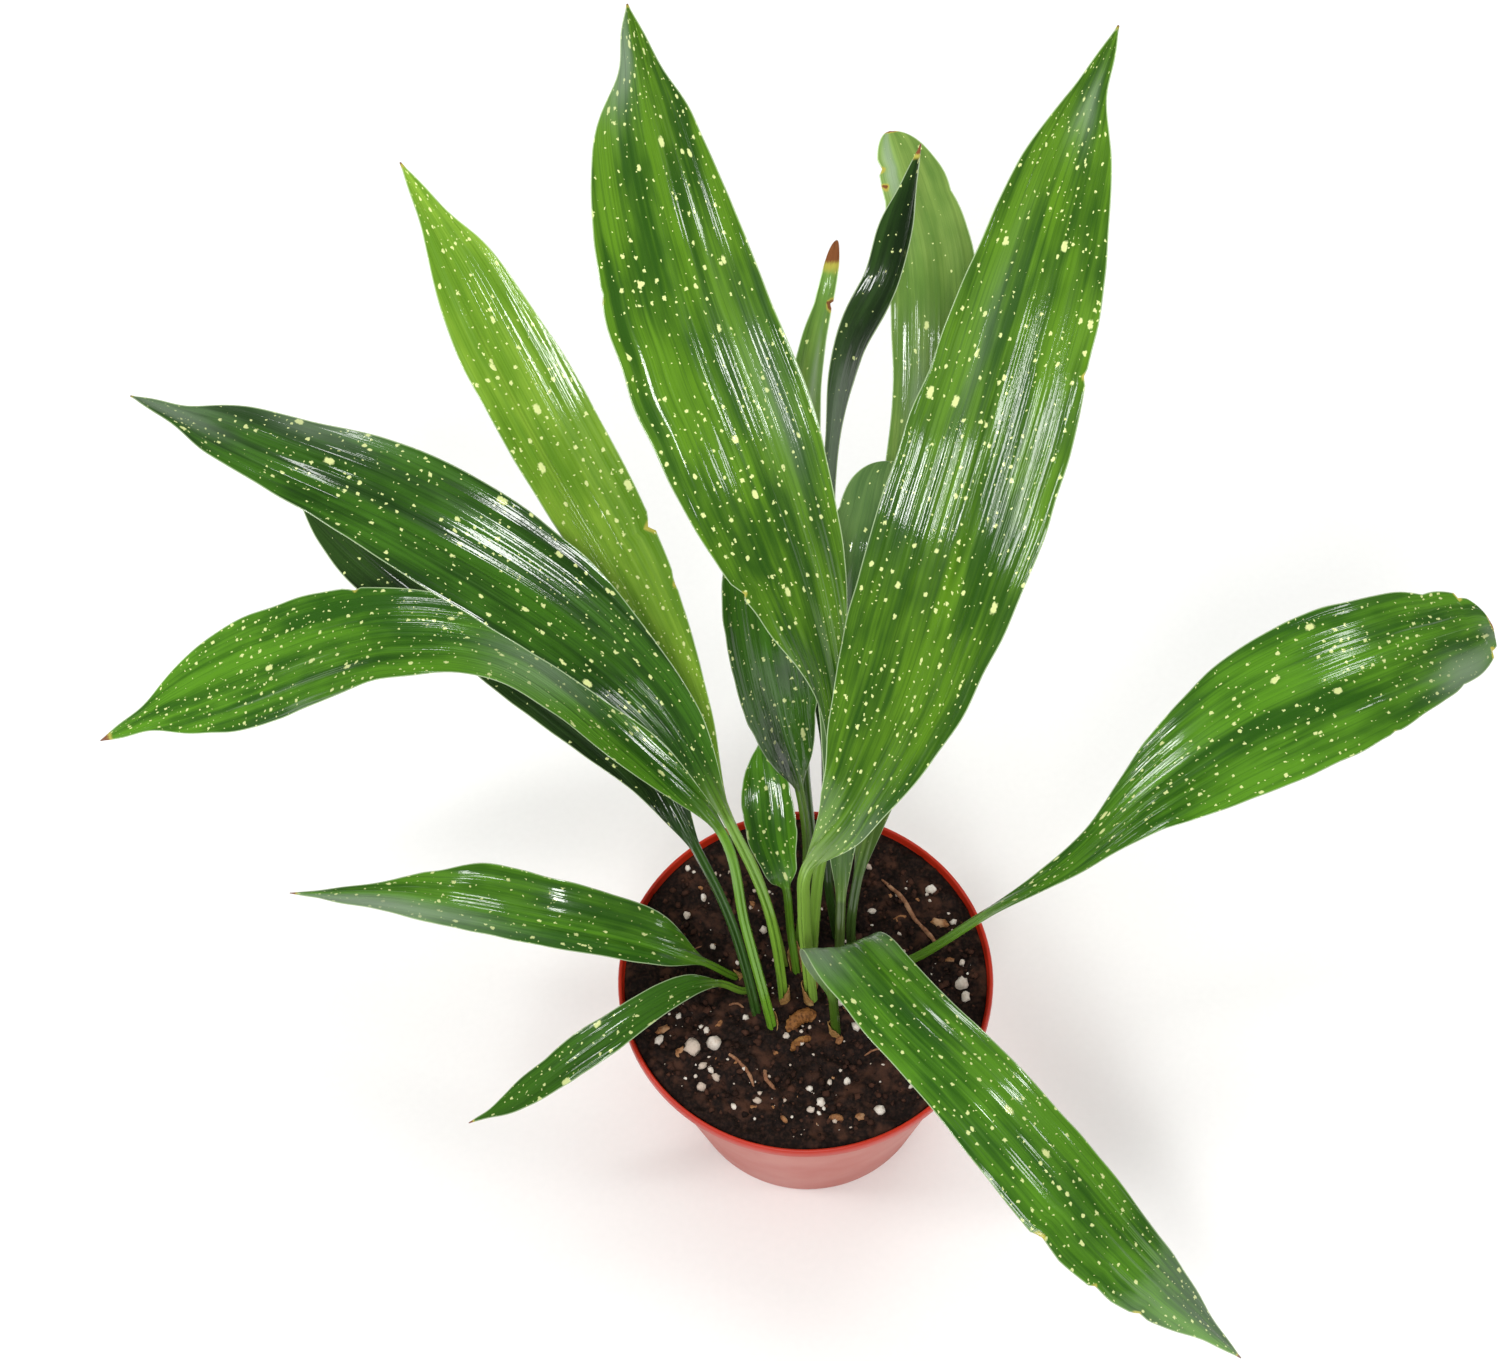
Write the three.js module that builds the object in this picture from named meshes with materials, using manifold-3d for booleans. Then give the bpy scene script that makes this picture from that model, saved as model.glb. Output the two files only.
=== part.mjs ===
// Potted cast iron plant: sixteen strap-shaped leaves on channelled stalks, standing in
// potting soil in a thin-walled round nursery pot. Millimetres, +Z up. The origin is the
// centre of the pot's flat base. The plant leans towards +Y and the pot's front faces -Y.

import * as THREE from 'three';
import { mergeVertices } from 'three/addons/utils/BufferGeometryUtils.js';
import Module from 'manifold-3d';

const wasm = await Module();
wasm.setup();

// Pot
const POT_HEIGHT = 105;
const RIM_RADIUS = 76;
const BASE_RADIUS = 52;
const WALL = 1.5;
const FLOOR = 1.8;
const RIM_DEPTH = 5;
const RIM_STEP = 3;
const DRAIN_COUNT = 6;
const DRAIN_RADIUS = 4.5;
const DRAIN_CIRCLE = 38;
const POT_SIDES = 60;

// Soil
const SOIL_LEVEL = 102.5;
const SOIL_RELIEF = 1.1;
const SOIL_GAP = 0.35;
const SOIL_SIDES = 48;
const SOIL_RINGS = 9;

// Perlite grains and bark bits raised from the soil surface: x, y and width of each
const GRAIN_HEIGHT = 0.8;
const GRAINS = [
  [54, 37, 5], [-47, -28, 7], [-38, -27, 7], [-43, -36, 4], [-38, -41, 4], [-44, -45, 4],
  [-60, -24, 4], [-47, 31, 4], [-16, 22, 4], [3, -54, 4], [26, -59, 4], [63, -6, 6],
  [64, -12, 4], [14, -46, 4], [40, 24, 5], [56, 22, 7], [59, 5, 4], [9, -61, 5],
  [18, -61, 5], [-58, -19, 5], [-36, -18, 4], [-22, -52, 4],
];

// Stalks in the soil
const HOLE_GAP = 0.55;

// Leaf section and stations
const BLADE_HALF_THICKNESS = 0.4;
const RIB_HEIGHT = 0.9;
const STALK_STATIONS = 7;
const BLADE_STATIONS = 19;
const ACROSS = [-1, -0.5, 0, 0.5, 1];
const STALK_ACROSS = [-1, -0.6, 0, 0.6, 1];
const STALK_TOP = [0.3, 0.8, 0.62, 0.8, 0.3];
const STALK_BOTTOM = [-0.3, -0.84, -1, -0.84, -0.3];

// One row for each leaf.
// route: the midrib's way from the foot in the soil to the tip
// collar: index of the route point where the blade begins
// stalk: half the stalk's width
// left, right: width of each half of the blade at each eighth of its length
// blunt: true where the tip is round rather than pointed
// lean: compass angle that the leaf heads at the collar, middle and tip, degrees from +X
// roll: turn about the midrib at the same three places, degrees, right edge up
// fold: rise of each half from the midrib at the same three places, degrees
// wave: height, count and phase of the edge ripples
const LEAVES = [
  {
    name: 'leaf_left_tall',
    route: [[-8, 5, 80], [-8, 5, 98], [-17, 22, 150], [-28, 32, 187], [-39, 57, 224],
      [-55, 85, 258], [-86, 129, 310], [-112, 172, 350], [-132, 204, 372]],
    collar: 3, stalk: 2.0, blunt: false,
    left: [8, 12, 14, 16, 17, 17, 10], right: [6, 11, 16, 19, 19, 16, 11],
    lean: [125, 122, 121], roll: [0, 5, 5],
    fold: [30, 10, 8], wave: [0.6, 3, 0.4], color: 0x5f8f2f,
  },
  {
    name: 'leaf_centre_tall',
    route: [[2, -4, 80], [2, -4, 98], [6, 9, 172], [13, 20, 222], [13, 41, 252],
      [5, 63, 290], [-9, 91, 332], [-27, 135, 370], [-40, 191, 396], [-47, 238, 410]],
    collar: 3, stalk: 2.2, blunt: false,
    left: [5, 18, 29, 34, 34, 28, 18], right: [5, 15, 22, 25, 23, 20, 13],
    lean: [95, 114, 100], roll: [5, 5, 0],
    fold: [25, 8, 6], wave: [0.8, 3, 1.0], color: 0x2c7a26,
  },
  {
    name: 'leaf_left_arching',
    route: [[-9, -10, 80], [-9, -10, 98], [-14, 3, 163], [-27, 17, 208], [-51, 48, 250],
      [-87, 71, 280], [-139, 97, 303], [-191, 126, 306], [-243, 164, 296]],
    collar: 3, stalk: 2.0, blunt: false,
    left: [8, 17, 20, 20, 16, 11, 7], right: [9, 14, 22, 25, 24, 19, 12],
    lean: [130, 152, 146], roll: [10, 16, 10],
    fold: [25, 8, 6], wave: [0.8, 3, 2.0], color: 0x1f5c1e,
  },
  {
    name: 'leaf_left_drooping',
    route: [[-14, -22, 80], [-14, -22, 98], [-23, 2, 150], [-30, 22, 190], [-59, 48, 214],
      [-103, 84, 230], [-150, 99, 226], [-211, 108, 190], [-286, 107, 140]],
    collar: 3, stalk: 2.0, blunt: false,
    left: [11, 15, 17, 23, 27, 24, 13], right: [10, 11, 12, 16, 21, 21, 12],
    lean: [138, 165, 179], roll: [10, 15, 25],
    fold: [25, 8, 6], wave: [0.8, 2, 0.5], color: 0x3a8a25,
  },
  {
    name: 'leaf_left_shaded',
    route: [[-20, -16, 80], [-20, -16, 98], [-28, 8, 137], [-40, 27, 166], [-60, 59, 190],
      [-98, 96, 202], [-141, 128, 212], [-181, 167, 214], [-201, 190, 208]],
    collar: 3, stalk: 2.0, blunt: false,
    left: [11, 19, 21, 20, 19, 19, 12], right: [8, 15, 18, 18, 18, 16, 11],
    lean: [121, 140, 133], roll: [10, 15, 15],
    fold: [25, 8, 6], wave: [0.6, 2, 0.0], color: 0x174a1b,
  },
  {
    name: 'leaf_right_tall',
    route: [[2, -10, 80], [2, -10, 98], [0, 0, 168], [2, 1, 198], [18, 7, 228],
      [39, 30, 268], [58, 66, 315], [80, 118, 355], [101, 169, 383], [127, 227, 398]],
    collar: 3, stalk: 2.5, blunt: false,
    left: [15, 27, 29, 28, 24, 19, 12], right: [15, 26, 31, 33, 30, 24, 13],
    lean: [40, 60, 66], roll: [0, -5, -5],
    fold: [30, 8, 6], wave: [0.8, 3, 0.0], color: 0x2f8a2a,
  },
  {
    name: 'leaf_back_right',
    route: [[20, 9, 80], [20, 9, 98], [19, 10, 128], [22, 19, 150], [32, 42, 180],
      [44, 81, 220], [50, 121, 262], [56, 160, 303], [57, 189, 320], [49, 257, 317]],
    collar: 3, stalk: 2.0, blunt: true,
    left: [9, 14, 15, 13, 12, 14, 10], right: [8, 17, 19, 20, 20, 19, 16],
    lean: [65, 80, 90], roll: [0, 0, 0],
    fold: [25, 8, 10], wave: [0.6, 2, 0.0], color: 0x5d8f45,
  },
  {
    name: 'leaf_back_narrow',
    route: [[14, 17, 80], [14, 17, 98], [11, 26, 138], [12, 55, 184], [14, 90, 230],
      [18, 130, 266], [28, 153, 318], [41, 167, 339], [49, 190, 348], [57, 217, 353]],
    collar: 3, stalk: 1.9, blunt: false,
    left: [5, 5, 4, 3, 6, 8, 8], right: [5, 5, 4, 3, 6, 9, 8],
    lean: [88, 80, 65], roll: [10, 20, 25],
    fold: [25, 20, 30], wave: [0.4, 2, 0.0], color: 0x2b5730,
  },
  {
    name: 'leaf_back_folded',
    route: [[6, 24, 80], [6, 24, 98], [6, 39, 130], [4, 64, 168], [6, 111, 212],
      [11, 166, 250], [17, 186, 280], [23, 200, 298], [26, 215, 304]],
    collar: 3, stalk: 1.8, blunt: true,
    left: [5, 8, 9, 10, 10, 8, 5], right: [5, 8, 10, 11, 9, 6, 4],
    lean: [92, 85, 75], roll: [0, 15, 20],
    fold: [30, 30, 35], wave: [0.3, 2, 0.0], color: 0x57893c,
  },
  {
    name: 'leaf_back_rounded',
    route: [[14, -4, 80], [14, -4, 98], [14, 2, 125], [15, 11, 148], [18, 36, 190],
      [26, 68, 242], [34, 90, 280], [38, 108, 284], [41, 124, 284]],
    collar: 3, stalk: 2.0, blunt: true,
    left: [5, 8, 11, 15, 18, 19, 17], right: [5, 8, 11, 15, 18, 19, 17],
    lean: [82, 78, 88], roll: [0, 0, 0],
    fold: [25, 8, 6], wave: [0.5, 2, 0.0], color: 0x35633a,
  },
  {
    name: 'leaf_inner_centre',
    route: [[-2, 15, 80], [-2, 15, 98], [3, 36, 145], [1, 47, 175], [-6, 59, 210],
      [-11, 74, 243], [-13, 93, 270], [-15, 115, 290]],
    collar: 3, stalk: 1.8, blunt: false,
    left: [8, 12, 14, 14, 14, 12, 8], right: [9, 14, 18, 19, 18, 14, 9],
    lean: [118, 105, 93], roll: [0, 0, 0],
    fold: [25, 10, 8], wave: [0.5, 2, 0.0], color: 0x35702f,
  },
  {
    name: 'leaf_inner_curled',
    route: [[-3, 1, 80], [-3, 1, 98], [-5, 14, 118], [-6, 23, 138], [-10, 36, 155],
      [-11, 51, 168], [-13, 69, 178]],
    collar: 3, stalk: 1.7, blunt: false,
    left: [8, 10, 12, 12, 12, 10, 6], right: [6, 8, 10, 10, 9, 8, 5],
    lean: [110, 97, 92], roll: [0, 0, 0],
    fold: [40, 20, 10], wave: [0.4, 2, 0.0], color: 0x3f7a2c,
  },
  {
    name: 'leaf_front_right',
    route: [[11, -25, 80], [11, -25, 98], [10, -20, 125], [9, -14, 148], [14, -17, 164],
      [24, -34, 173], [36, -52, 176], [64, -84, 173], [88, -108, 155], [118, -132, 120],
      [161, -152, 60]],
    collar: 2, stalk: 2.0, blunt: false,
    left: [14, 16, 15, 15, 15, 12, 7], right: [15, 17, 19, 22, 23, 18, 9],
    lean: [-90, -48, -30], roll: [0, -8, -10],
    fold: [8, 10, 8], wave: [0.8, 3, 0.0], color: 0x2c7a24,
  },
  {
    name: 'leaf_right_blunt',
    route: [[31, 2, 80], [31, 2, 98], [47, 4, 110], [72, 6, 140], [100, 10, 168],
      [134, 29, 195], [173, 48, 210], [228, 73, 205], [282, 103, 180]],
    collar: 3, stalk: 1.9, blunt: true,
    left: [4, 6, 15, 24, 28, 26, 20], right: [4, 12, 23, 30, 30, 26, 19],
    lean: [15, 26, 28], roll: [-10, -20, -20],
    fold: [25, 8, 6], wave: [1.0, 3, 0.0], color: 0x2f7f22,
  },
  {
    name: 'leaf_left_short',
    route: [[-25, 2, 80], [-25, 2, 98], [-31, 1, 108], [-40, 1, 120], [-65, 4, 138],
      [-99, 9, 150], [-133, 19, 148], [-165, 32, 135], [-210, 47, 110]],
    collar: 3, stalk: 1.6, blunt: false,
    left: [10, 12, 13, 12, 11, 8, 5], right: [12, 15, 16, 17, 10, 4, 2],
    lean: [176, 165, 158], roll: [10, 15, 15],
    fold: [25, 14, 25], wave: [0.6, 3, 0.0], color: 0x3a7f2c,
  },
  {
    name: 'leaf_front_left',
    route: [[-22, -3, 80], [-22, -3, 98], [-27, -5, 105], [-34, -5, 112], [-46, -8, 118],
      [-67, -19, 120], [-91, -31, 112], [-121, -43, 92], [-139, -45, 78]],
    collar: 3, stalk: 1.5, blunt: false,
    left: [5, 7, 9, 9, 8, 6, 3], right: [5, 6, 6, 7, 6, 6, 3],
    lean: [-165, -152, -170], roll: [5, 10, 10],
    fold: [20, 8, 6], wave: [0.4, 2, 0.0], color: 0x2f7a28,
  },
];

const radians = (degrees) => degrees * Math.PI / 180;

const smooth = (from, to, value) => THREE.MathUtils.smoothstep(value, from, to);

// Value at t between 0 and 1 of a quantity given at the collar, middle and tip.
function along(three, t) {
  const [first, middle, last] = three;
  const k = t * t * (3 - 2 * t);
  return t < 0 ? first : (1 - t) * (1 - k) * first + k * t * last
    + (1 - (1 - t) * (1 - k) - k * t) * middle;
}

// Width of one half of the blade at t between the collar and the tip.
function halfWidth(widths, blunt, t) {
  const knots = [-widths[0], 0, ...widths, 0, -widths[widths.length - 1]];
  const place = THREE.MathUtils.clamp(t, 0, 0.9999) * (widths.length + 1);
  const i = Math.floor(place);
  const u = place - i;
  if (blunt && i === widths.length) {
    return widths[i - 1] * Math.sqrt(1 - u * u);
  }
  const [a, b, c, d] = knots.slice(i, i + 4);
  const curve = 2 * b + (c - a) * u + (2 * a - 5 * b + 4 * c - d) * u * u
    + (3 * b - a - 3 * c + d) * u * u * u;
  return Math.max(0, curve / 2);
}

// Points of one section: the upper side from left to right and the lower side likewise.
function leafSection(leaf, point, tangent, t, grow) {
  const lean = radians(along(leaf.lean, t));
  const side = new THREE.Vector3(Math.sin(lean), -Math.cos(lean), 0);
  side.addScaledVector(tangent, -side.dot(tangent)).normalize();
  const up = new THREE.Vector3().crossVectors(side, tangent);
  const roll = radians(along(leaf.roll, t));
  const right = side.clone().multiplyScalar(Math.cos(roll)).addScaledVector(up, Math.sin(roll));
  const normal = up.clone().multiplyScalar(Math.cos(roll)).addScaledVector(side, -Math.sin(roll));

  const blade = smooth(0, 0.14, t);
  const stalk = leaf.stalk * (1 - 0.85 * Math.max(0, t)) + grow;
  const halves = [leaf.left, leaf.right].map((widths) => (
    Math.hypot(stalk, halfWidth(widths, leaf.blunt, t))));
  const fold = radians(along(leaf.fold, t)) * blade;
  const [height, count, phase] = leaf.wave;
  const rib = RIB_HEIGHT * (1 - Math.max(0, t));
  const top = [];
  const bottom = [];
  ACROSS.forEach((u, j) => {
    const half = halves[u > 0 ? 1 : 0];
    const x = half * THREE.MathUtils.lerp(STALK_ACROSS[j], u, blade);
    const ripple = height * Math.sin(Math.PI * Math.max(0, t)) * u * u
      * Math.sin(2 * Math.PI * count * t + phase + (u > 0 ? 1.3 : 0));
    const middle = Math.abs(x) * Math.sin(fold) + ripple * blade;
    const isRib = j === 2 ? 1 : 0;
    const above = THREE.MathUtils.lerp(stalk * STALK_TOP[j], BLADE_HALF_THICKNESS + 0.2 * rib * isRib, blade);
    const below = THREE.MathUtils.lerp(stalk * STALK_BOTTOM[j], -BLADE_HALF_THICKNESS - rib * isRib, blade);
    const across = x * Math.cos(fold);
    top.push(point.clone().addScaledVector(right, across).addScaledVector(normal, middle + above));
    bottom.push(point.clone().addScaledVector(right, across).addScaledVector(normal, middle + below));
  });
  return { top, bottom };
}

// Closed skin over a row of sections. Both faces are split along like diagonals.
function skin(sections) {
  const positions = [];
  const index = [];
  const n = ACROSS.length;
  sections.forEach(({ top, bottom }) => {
    [...top, ...bottom].forEach((p) => positions.push(p.x, p.y, p.z));
  });
  const at = (i, j) => i * 2 * n + j;
  for (let i = 0; i < sections.length - 1; i += 1) {
    for (let j = 0; j < n - 1; j += 1) {
      index.push(at(i, j), at(i, j + 1), at(i + 1, j + 1));
      index.push(at(i, j), at(i + 1, j + 1), at(i + 1, j));
      index.push(at(i, n + j), at(i + 1, n + j + 1), at(i, n + j + 1));
      index.push(at(i, n + j), at(i + 1, n + j), at(i + 1, n + j + 1));
    }
    index.push(at(i, n - 1), at(i, 2 * n - 1), at(i + 1, 2 * n - 1));
    index.push(at(i, n - 1), at(i + 1, 2 * n - 1), at(i + 1, n - 1));
    index.push(at(i, 0), at(i + 1, n), at(i, n));
    index.push(at(i, 0), at(i + 1, 0), at(i + 1, n));
  }
  const last = sections.length - 1;
  for (let j = 0; j < n - 1; j += 1) {
    index.push(at(0, j), at(0, n + j), at(0, n + j + 1));
    index.push(at(0, j), at(0, n + j + 1), at(0, j + 1));
    index.push(at(last, j), at(last, n + j + 1), at(last, n + j));
    index.push(at(last, j), at(last, j + 1), at(last, n + j + 1));
  }
  const geometry = new THREE.BufferGeometry();
  geometry.setAttribute('position', new THREE.Float32BufferAttribute(positions, 3));
  geometry.setIndex(index);
  return geometry;
}

// Sections along a leaf. With a grow value, only the part in and just above the soil.
function leafGeometry(leaf, grow = 0) {
  const points = leaf.route.map((p) => new THREE.Vector3(...p));
  const curve = new THREE.CatmullRomCurve3(points, false, 'centripetal');
  const perSpan = 40;
  curve.arcLengthDivisions = perSpan * (points.length - 1);
  const lengths = curve.getLengths();
  const collar = lengths[leaf.collar * perSpan] / lengths[lengths.length - 1];
  const sections = [];
  for (let i = 0; i < STALK_STATIONS; i += 1) {
    const s = collar * i / STALK_STATIONS;
    const point = curve.getPointAt(s);
    const tangent = curve.getTangentAt(s);
    if (grow > 0 && i === 0) {
      point.addScaledVector(tangent, -grow);
    }
    sections.push(leafSection(leaf, point, tangent, -1, grow));
    if (grow > 0 && point.z > SOIL_LEVEL + 4) {
      return skin(sections);
    }
  }
  for (let i = 0; i < BLADE_STATIONS; i += 1) {
    const k = i / (BLADE_STATIONS - 1);
    const t = k * (1.25 - 0.25 * k);
    const s = Math.min(1, collar + (1 - collar) * t);
    sections.push(leafSection(leaf, curve.getPointAt(s), curve.getTangentAt(s), t, grow));
  }
  return skin(sections);
}

function toManifold(geometry) {
  const bare = geometry.clone();
  bare.deleteAttribute('normal');
  bare.deleteAttribute('uv');
  const merged = mergeVertices(bare, 1e-4);
  return new wasm.Manifold(new wasm.Mesh({
    numProp: 3,
    vertProperties: new Float32Array(merged.attributes.position.array),
    triVerts: new Uint32Array(merged.index.array),
  }));
}

function toGeometry(solid) {
  const mesh = solid.getMesh();
  const geometry = new THREE.BufferGeometry();
  geometry.setAttribute('position', new THREE.Float32BufferAttribute(mesh.vertProperties, 3));
  geometry.setIndex(Array.from(mesh.triVerts));
  geometry.computeVertexNormals();
  return geometry;
}

function lathe(profile, sides) {
  const points = profile.map(([r, z]) => new THREE.Vector2(r, z));
  const geometry = new THREE.LatheGeometry(points, sides);
  geometry.rotateX(Math.PI / 2);
  return geometry;
}

// Outer radius of the plain wall at a height.
const wallRadius = (z) => {
  const top = RIM_RADIUS - RIM_STEP;
  return BASE_RADIUS + (top - BASE_RADIUS) * z / (POT_HEIGHT - RIM_DEPTH);
};

// Thin-walled pot with an upright rim band, rounded at its top, and drain holes.
function potGeometry() {
  const band = POT_HEIGHT - RIM_DEPTH;
  const outer = [
    [0, 0], [BASE_RADIUS - 1.5, 0], [BASE_RADIUS, 1.5], [wallRadius(band - 1.5), band - 1.5],
    [RIM_RADIUS - 0.5, band - 0.5], [RIM_RADIUS, band + 0.5], [RIM_RADIUS, POT_HEIGHT - 0.9],
    [RIM_RADIUS - 0.8, POT_HEIGHT],
  ];
  const inner = [
    [RIM_RADIUS - WALL - 0.2, POT_HEIGHT - 0.5], [RIM_RADIUS - WALL - 0.4, band + 1.5],
    [wallRadius(band) - WALL, band - 1.5 + 0.6], [wallRadius(FLOOR + 1) - WALL, FLOOR + 1],
    [BASE_RADIUS - WALL - 0.4, FLOOR], [0, FLOOR],
  ];
  let pot = toManifold(lathe([...outer, ...inner], POT_SIDES));
  for (let i = 0; i < DRAIN_COUNT; i += 1) {
    const angle = 2 * Math.PI * (i + 0.5) / DRAIN_COUNT;
    const drill = new THREE.CylinderGeometry(DRAIN_RADIUS, DRAIN_RADIUS, 6, 16);
    drill.rotateX(Math.PI / 2);
    drill.translate(DRAIN_CIRCLE * Math.cos(angle), DRAIN_CIRCLE * Math.sin(angle), FLOOR / 2);
    pot = pot.subtract(toManifold(drill));
  }
  return toGeometry(pot);
}

// Height of the crumbly soil surface above its level.
function soilRelief(x, y) {
  const reach = Math.hypot(x, y) / RIM_RADIUS;
  const lumps = Math.sin(0.21 * x + 1.3) * Math.cos(0.17 * y - 0.4)
    + 0.6 * Math.sin(0.43 * x - 0.36 * y) + 0.4 * Math.cos(0.55 * y + 0.3 * x + 1);
  return SOIL_RELIEF * (0.6 * lumps - 1.2 * reach * reach);
}

// Soil that fills the pot, with a lumpy top and a pocket for every stalk and root piece.
function soilGeometry(cutters) {
  const bottom = FLOOR + SOIL_GAP;
  const band = POT_HEIGHT - RIM_DEPTH;
  // The soil covers the step inside the rim: its edge stands over a narrower waist
  const edge = RIM_RADIUS - WALL - SOIL_GAP - 1.15;
  const waist = wallRadius(band) - WALL - SOIL_GAP - 0.45;
  const foot = wallRadius(bottom + 1) - WALL - SOIL_GAP - 0.25;
  const positions = [0, 0, SOIL_LEVEL + soilRelief(0, 0)];
  const index = [];
  for (let i = 1; i <= SOIL_RINGS; i += 1) {
    for (let k = 0; k < SOIL_SIDES; k += 1) {
      const angle = 2 * Math.PI * k / SOIL_SIDES;
      const r = edge * i / SOIL_RINGS;
      const x = r * Math.cos(angle);
      const y = r * Math.sin(angle);
      const z = SOIL_LEVEL + soilRelief(x, y);
      positions.push(x, y, i === SOIL_RINGS ? Math.max(z, band + 1.5) : z);
    }
  }
  const sides = [[edge, band + 1.1], [waist, band - 1.2], [foot, bottom + 1], [foot - 1, bottom]];
  sides.forEach(([r, z]) => {
    for (let k = 0; k < SOIL_SIDES; k += 1) {
      const angle = 2 * Math.PI * k / SOIL_SIDES;
      positions.push(r * Math.cos(angle), r * Math.sin(angle), z);
    }
  });
  positions.push(0, 0, bottom);
  const at = (ring, k) => 1 + (ring - 1) * SOIL_SIDES + k % SOIL_SIDES;
  const last = SOIL_RINGS + sides.length;
  for (let k = 0; k < SOIL_SIDES; k += 1) {
    index.push(0, at(1, k), at(1, k + 1));
    for (let ring = 1; ring < last; ring += 1) {
      index.push(at(ring, k), at(ring + 1, k), at(ring + 1, k + 1));
      index.push(at(ring, k), at(ring + 1, k + 1), at(ring, k + 1));
    }
    index.push(at(last, k), positions.length / 3 - 1, at(last, k + 1));
  }
  const fill = new THREE.BufferGeometry();
  fill.setAttribute('position', new THREE.Float32BufferAttribute(positions, 3));
  fill.setIndex(index);
  let soil = toManifold(fill);
  GRAINS.forEach(([x, y, width], i) => {
    const grain = new THREE.IcosahedronGeometry(width / 2, 0);
    grain.rotateZ(i);
    grain.scale(1, 0.85, GRAIN_HEIGHT);
    grain.translate(x, y, SOIL_LEVEL + soilRelief(x, y) + 0.12 * width);
    soil = soil.add(toManifold(grain));
  });
  cutters.forEach((cutter) => {
    soil = soil.subtract(toManifold(cutter));
  });
  return toGeometry(soil);
}

// Knobbly piece of creeping rootstock, half sunk in the soil.
const ROOT_PIECES = [
  {
    name: 'rootstock_large', radius: 3.0,
    route: [[-8, -23, 100.5], [-5, -19, 103.5], [-1, -17, 104], [3, -17, 100.5]],
  },
  {
    name: 'rootstock_small', radius: 1.7,
    route: [[-8, -31, 101.5], [-4, -28, 103], [1, -26, 102]],
  },
];

function rootGeometry(piece, grow = 0) {
  const curve = new THREE.CatmullRomCurve3(piece.route.map((p) => new THREE.Vector3(...p)));
  const rings = 12;
  const sides = 10;
  const positions = [];
  const index = [];
  for (let i = 0; i <= rings; i += 1) {
    const t = i / rings;
    const point = curve.getPointAt(t);
    const tangent = curve.getTangentAt(t);
    const side = new THREE.Vector3(-tangent.y, tangent.x, 0).normalize();
    const up = new THREE.Vector3().crossVectors(tangent, side);
    const end = Math.sqrt(Math.max(0.06, 1 - (2 * t - 1) ** 6));
    const radius = piece.radius * end * (1 + 0.12 * Math.sin(19 * t)) + grow;
    for (let k = 0; k < sides; k += 1) {
      const angle = 2 * Math.PI * k / sides;
      const p = point.clone().addScaledVector(side, radius * Math.cos(angle))
        .addScaledVector(up, radius * Math.sin(angle));
      if (i === 0) {
        p.addScaledVector(tangent, -grow);
      }
      if (i === rings) {
        p.addScaledVector(tangent, grow);
      }
      positions.push(p.x, p.y, p.z);
    }
  }
  const at = (i, k) => i * sides + k % sides;
  for (let k = 0; k < sides; k += 1) {
    for (let i = 0; i < rings; i += 1) {
      index.push(at(i, k), at(i, k + 1), at(i + 1, k + 1));
      index.push(at(i, k), at(i + 1, k + 1), at(i + 1, k));
    }
    if (k > 0 && k < sides - 1) {
      index.push(at(0, 0), at(0, k + 1), at(0, k));
      index.push(at(rings, 0), at(rings, k), at(rings, k + 1));
    }
  }
  const geometry = new THREE.BufferGeometry();
  geometry.setAttribute('position', new THREE.Float32BufferAttribute(positions, 3));
  geometry.setIndex(index);
  return geometry;
}

function namedMesh(name, geometry, color, roughness) {
  const material = new THREE.MeshStandardMaterial({ color, roughness, metalness: 0 });
  const mesh = new THREE.Mesh(geometry, material);
  mesh.name = name;
  return mesh;
}

const plant = new THREE.Group();
plant.name = 'potted_cast_iron_plant';
plant.add(namedMesh('pot', potGeometry(), 0xc23a22, 0.35));

const cutters = [
  ...LEAVES.map((leaf) => leafGeometry(leaf, HOLE_GAP)),
  ...ROOT_PIECES.map((piece) => rootGeometry(piece, piece.radius / 3)),
];
plant.add(namedMesh('soil', soilGeometry(cutters), 0x1d1512, 0.95));
ROOT_PIECES.forEach((piece) => {
  plant.add(namedMesh(piece.name, rootGeometry(piece), 0x8a5a33, 0.8));
});
LEAVES.forEach((leaf) => {
  plant.add(namedMesh(leaf.name, leafGeometry(leaf), leaf.color, 0.3));
});

export default plant;
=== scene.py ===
"""Potted cast iron plant: speckled strap leaves on channelled stalks, in potting soil in a
thin-walled red nursery pot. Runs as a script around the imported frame, which is in metres
with +Z up and the origin at the centre of the pot's flat base."""

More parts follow.
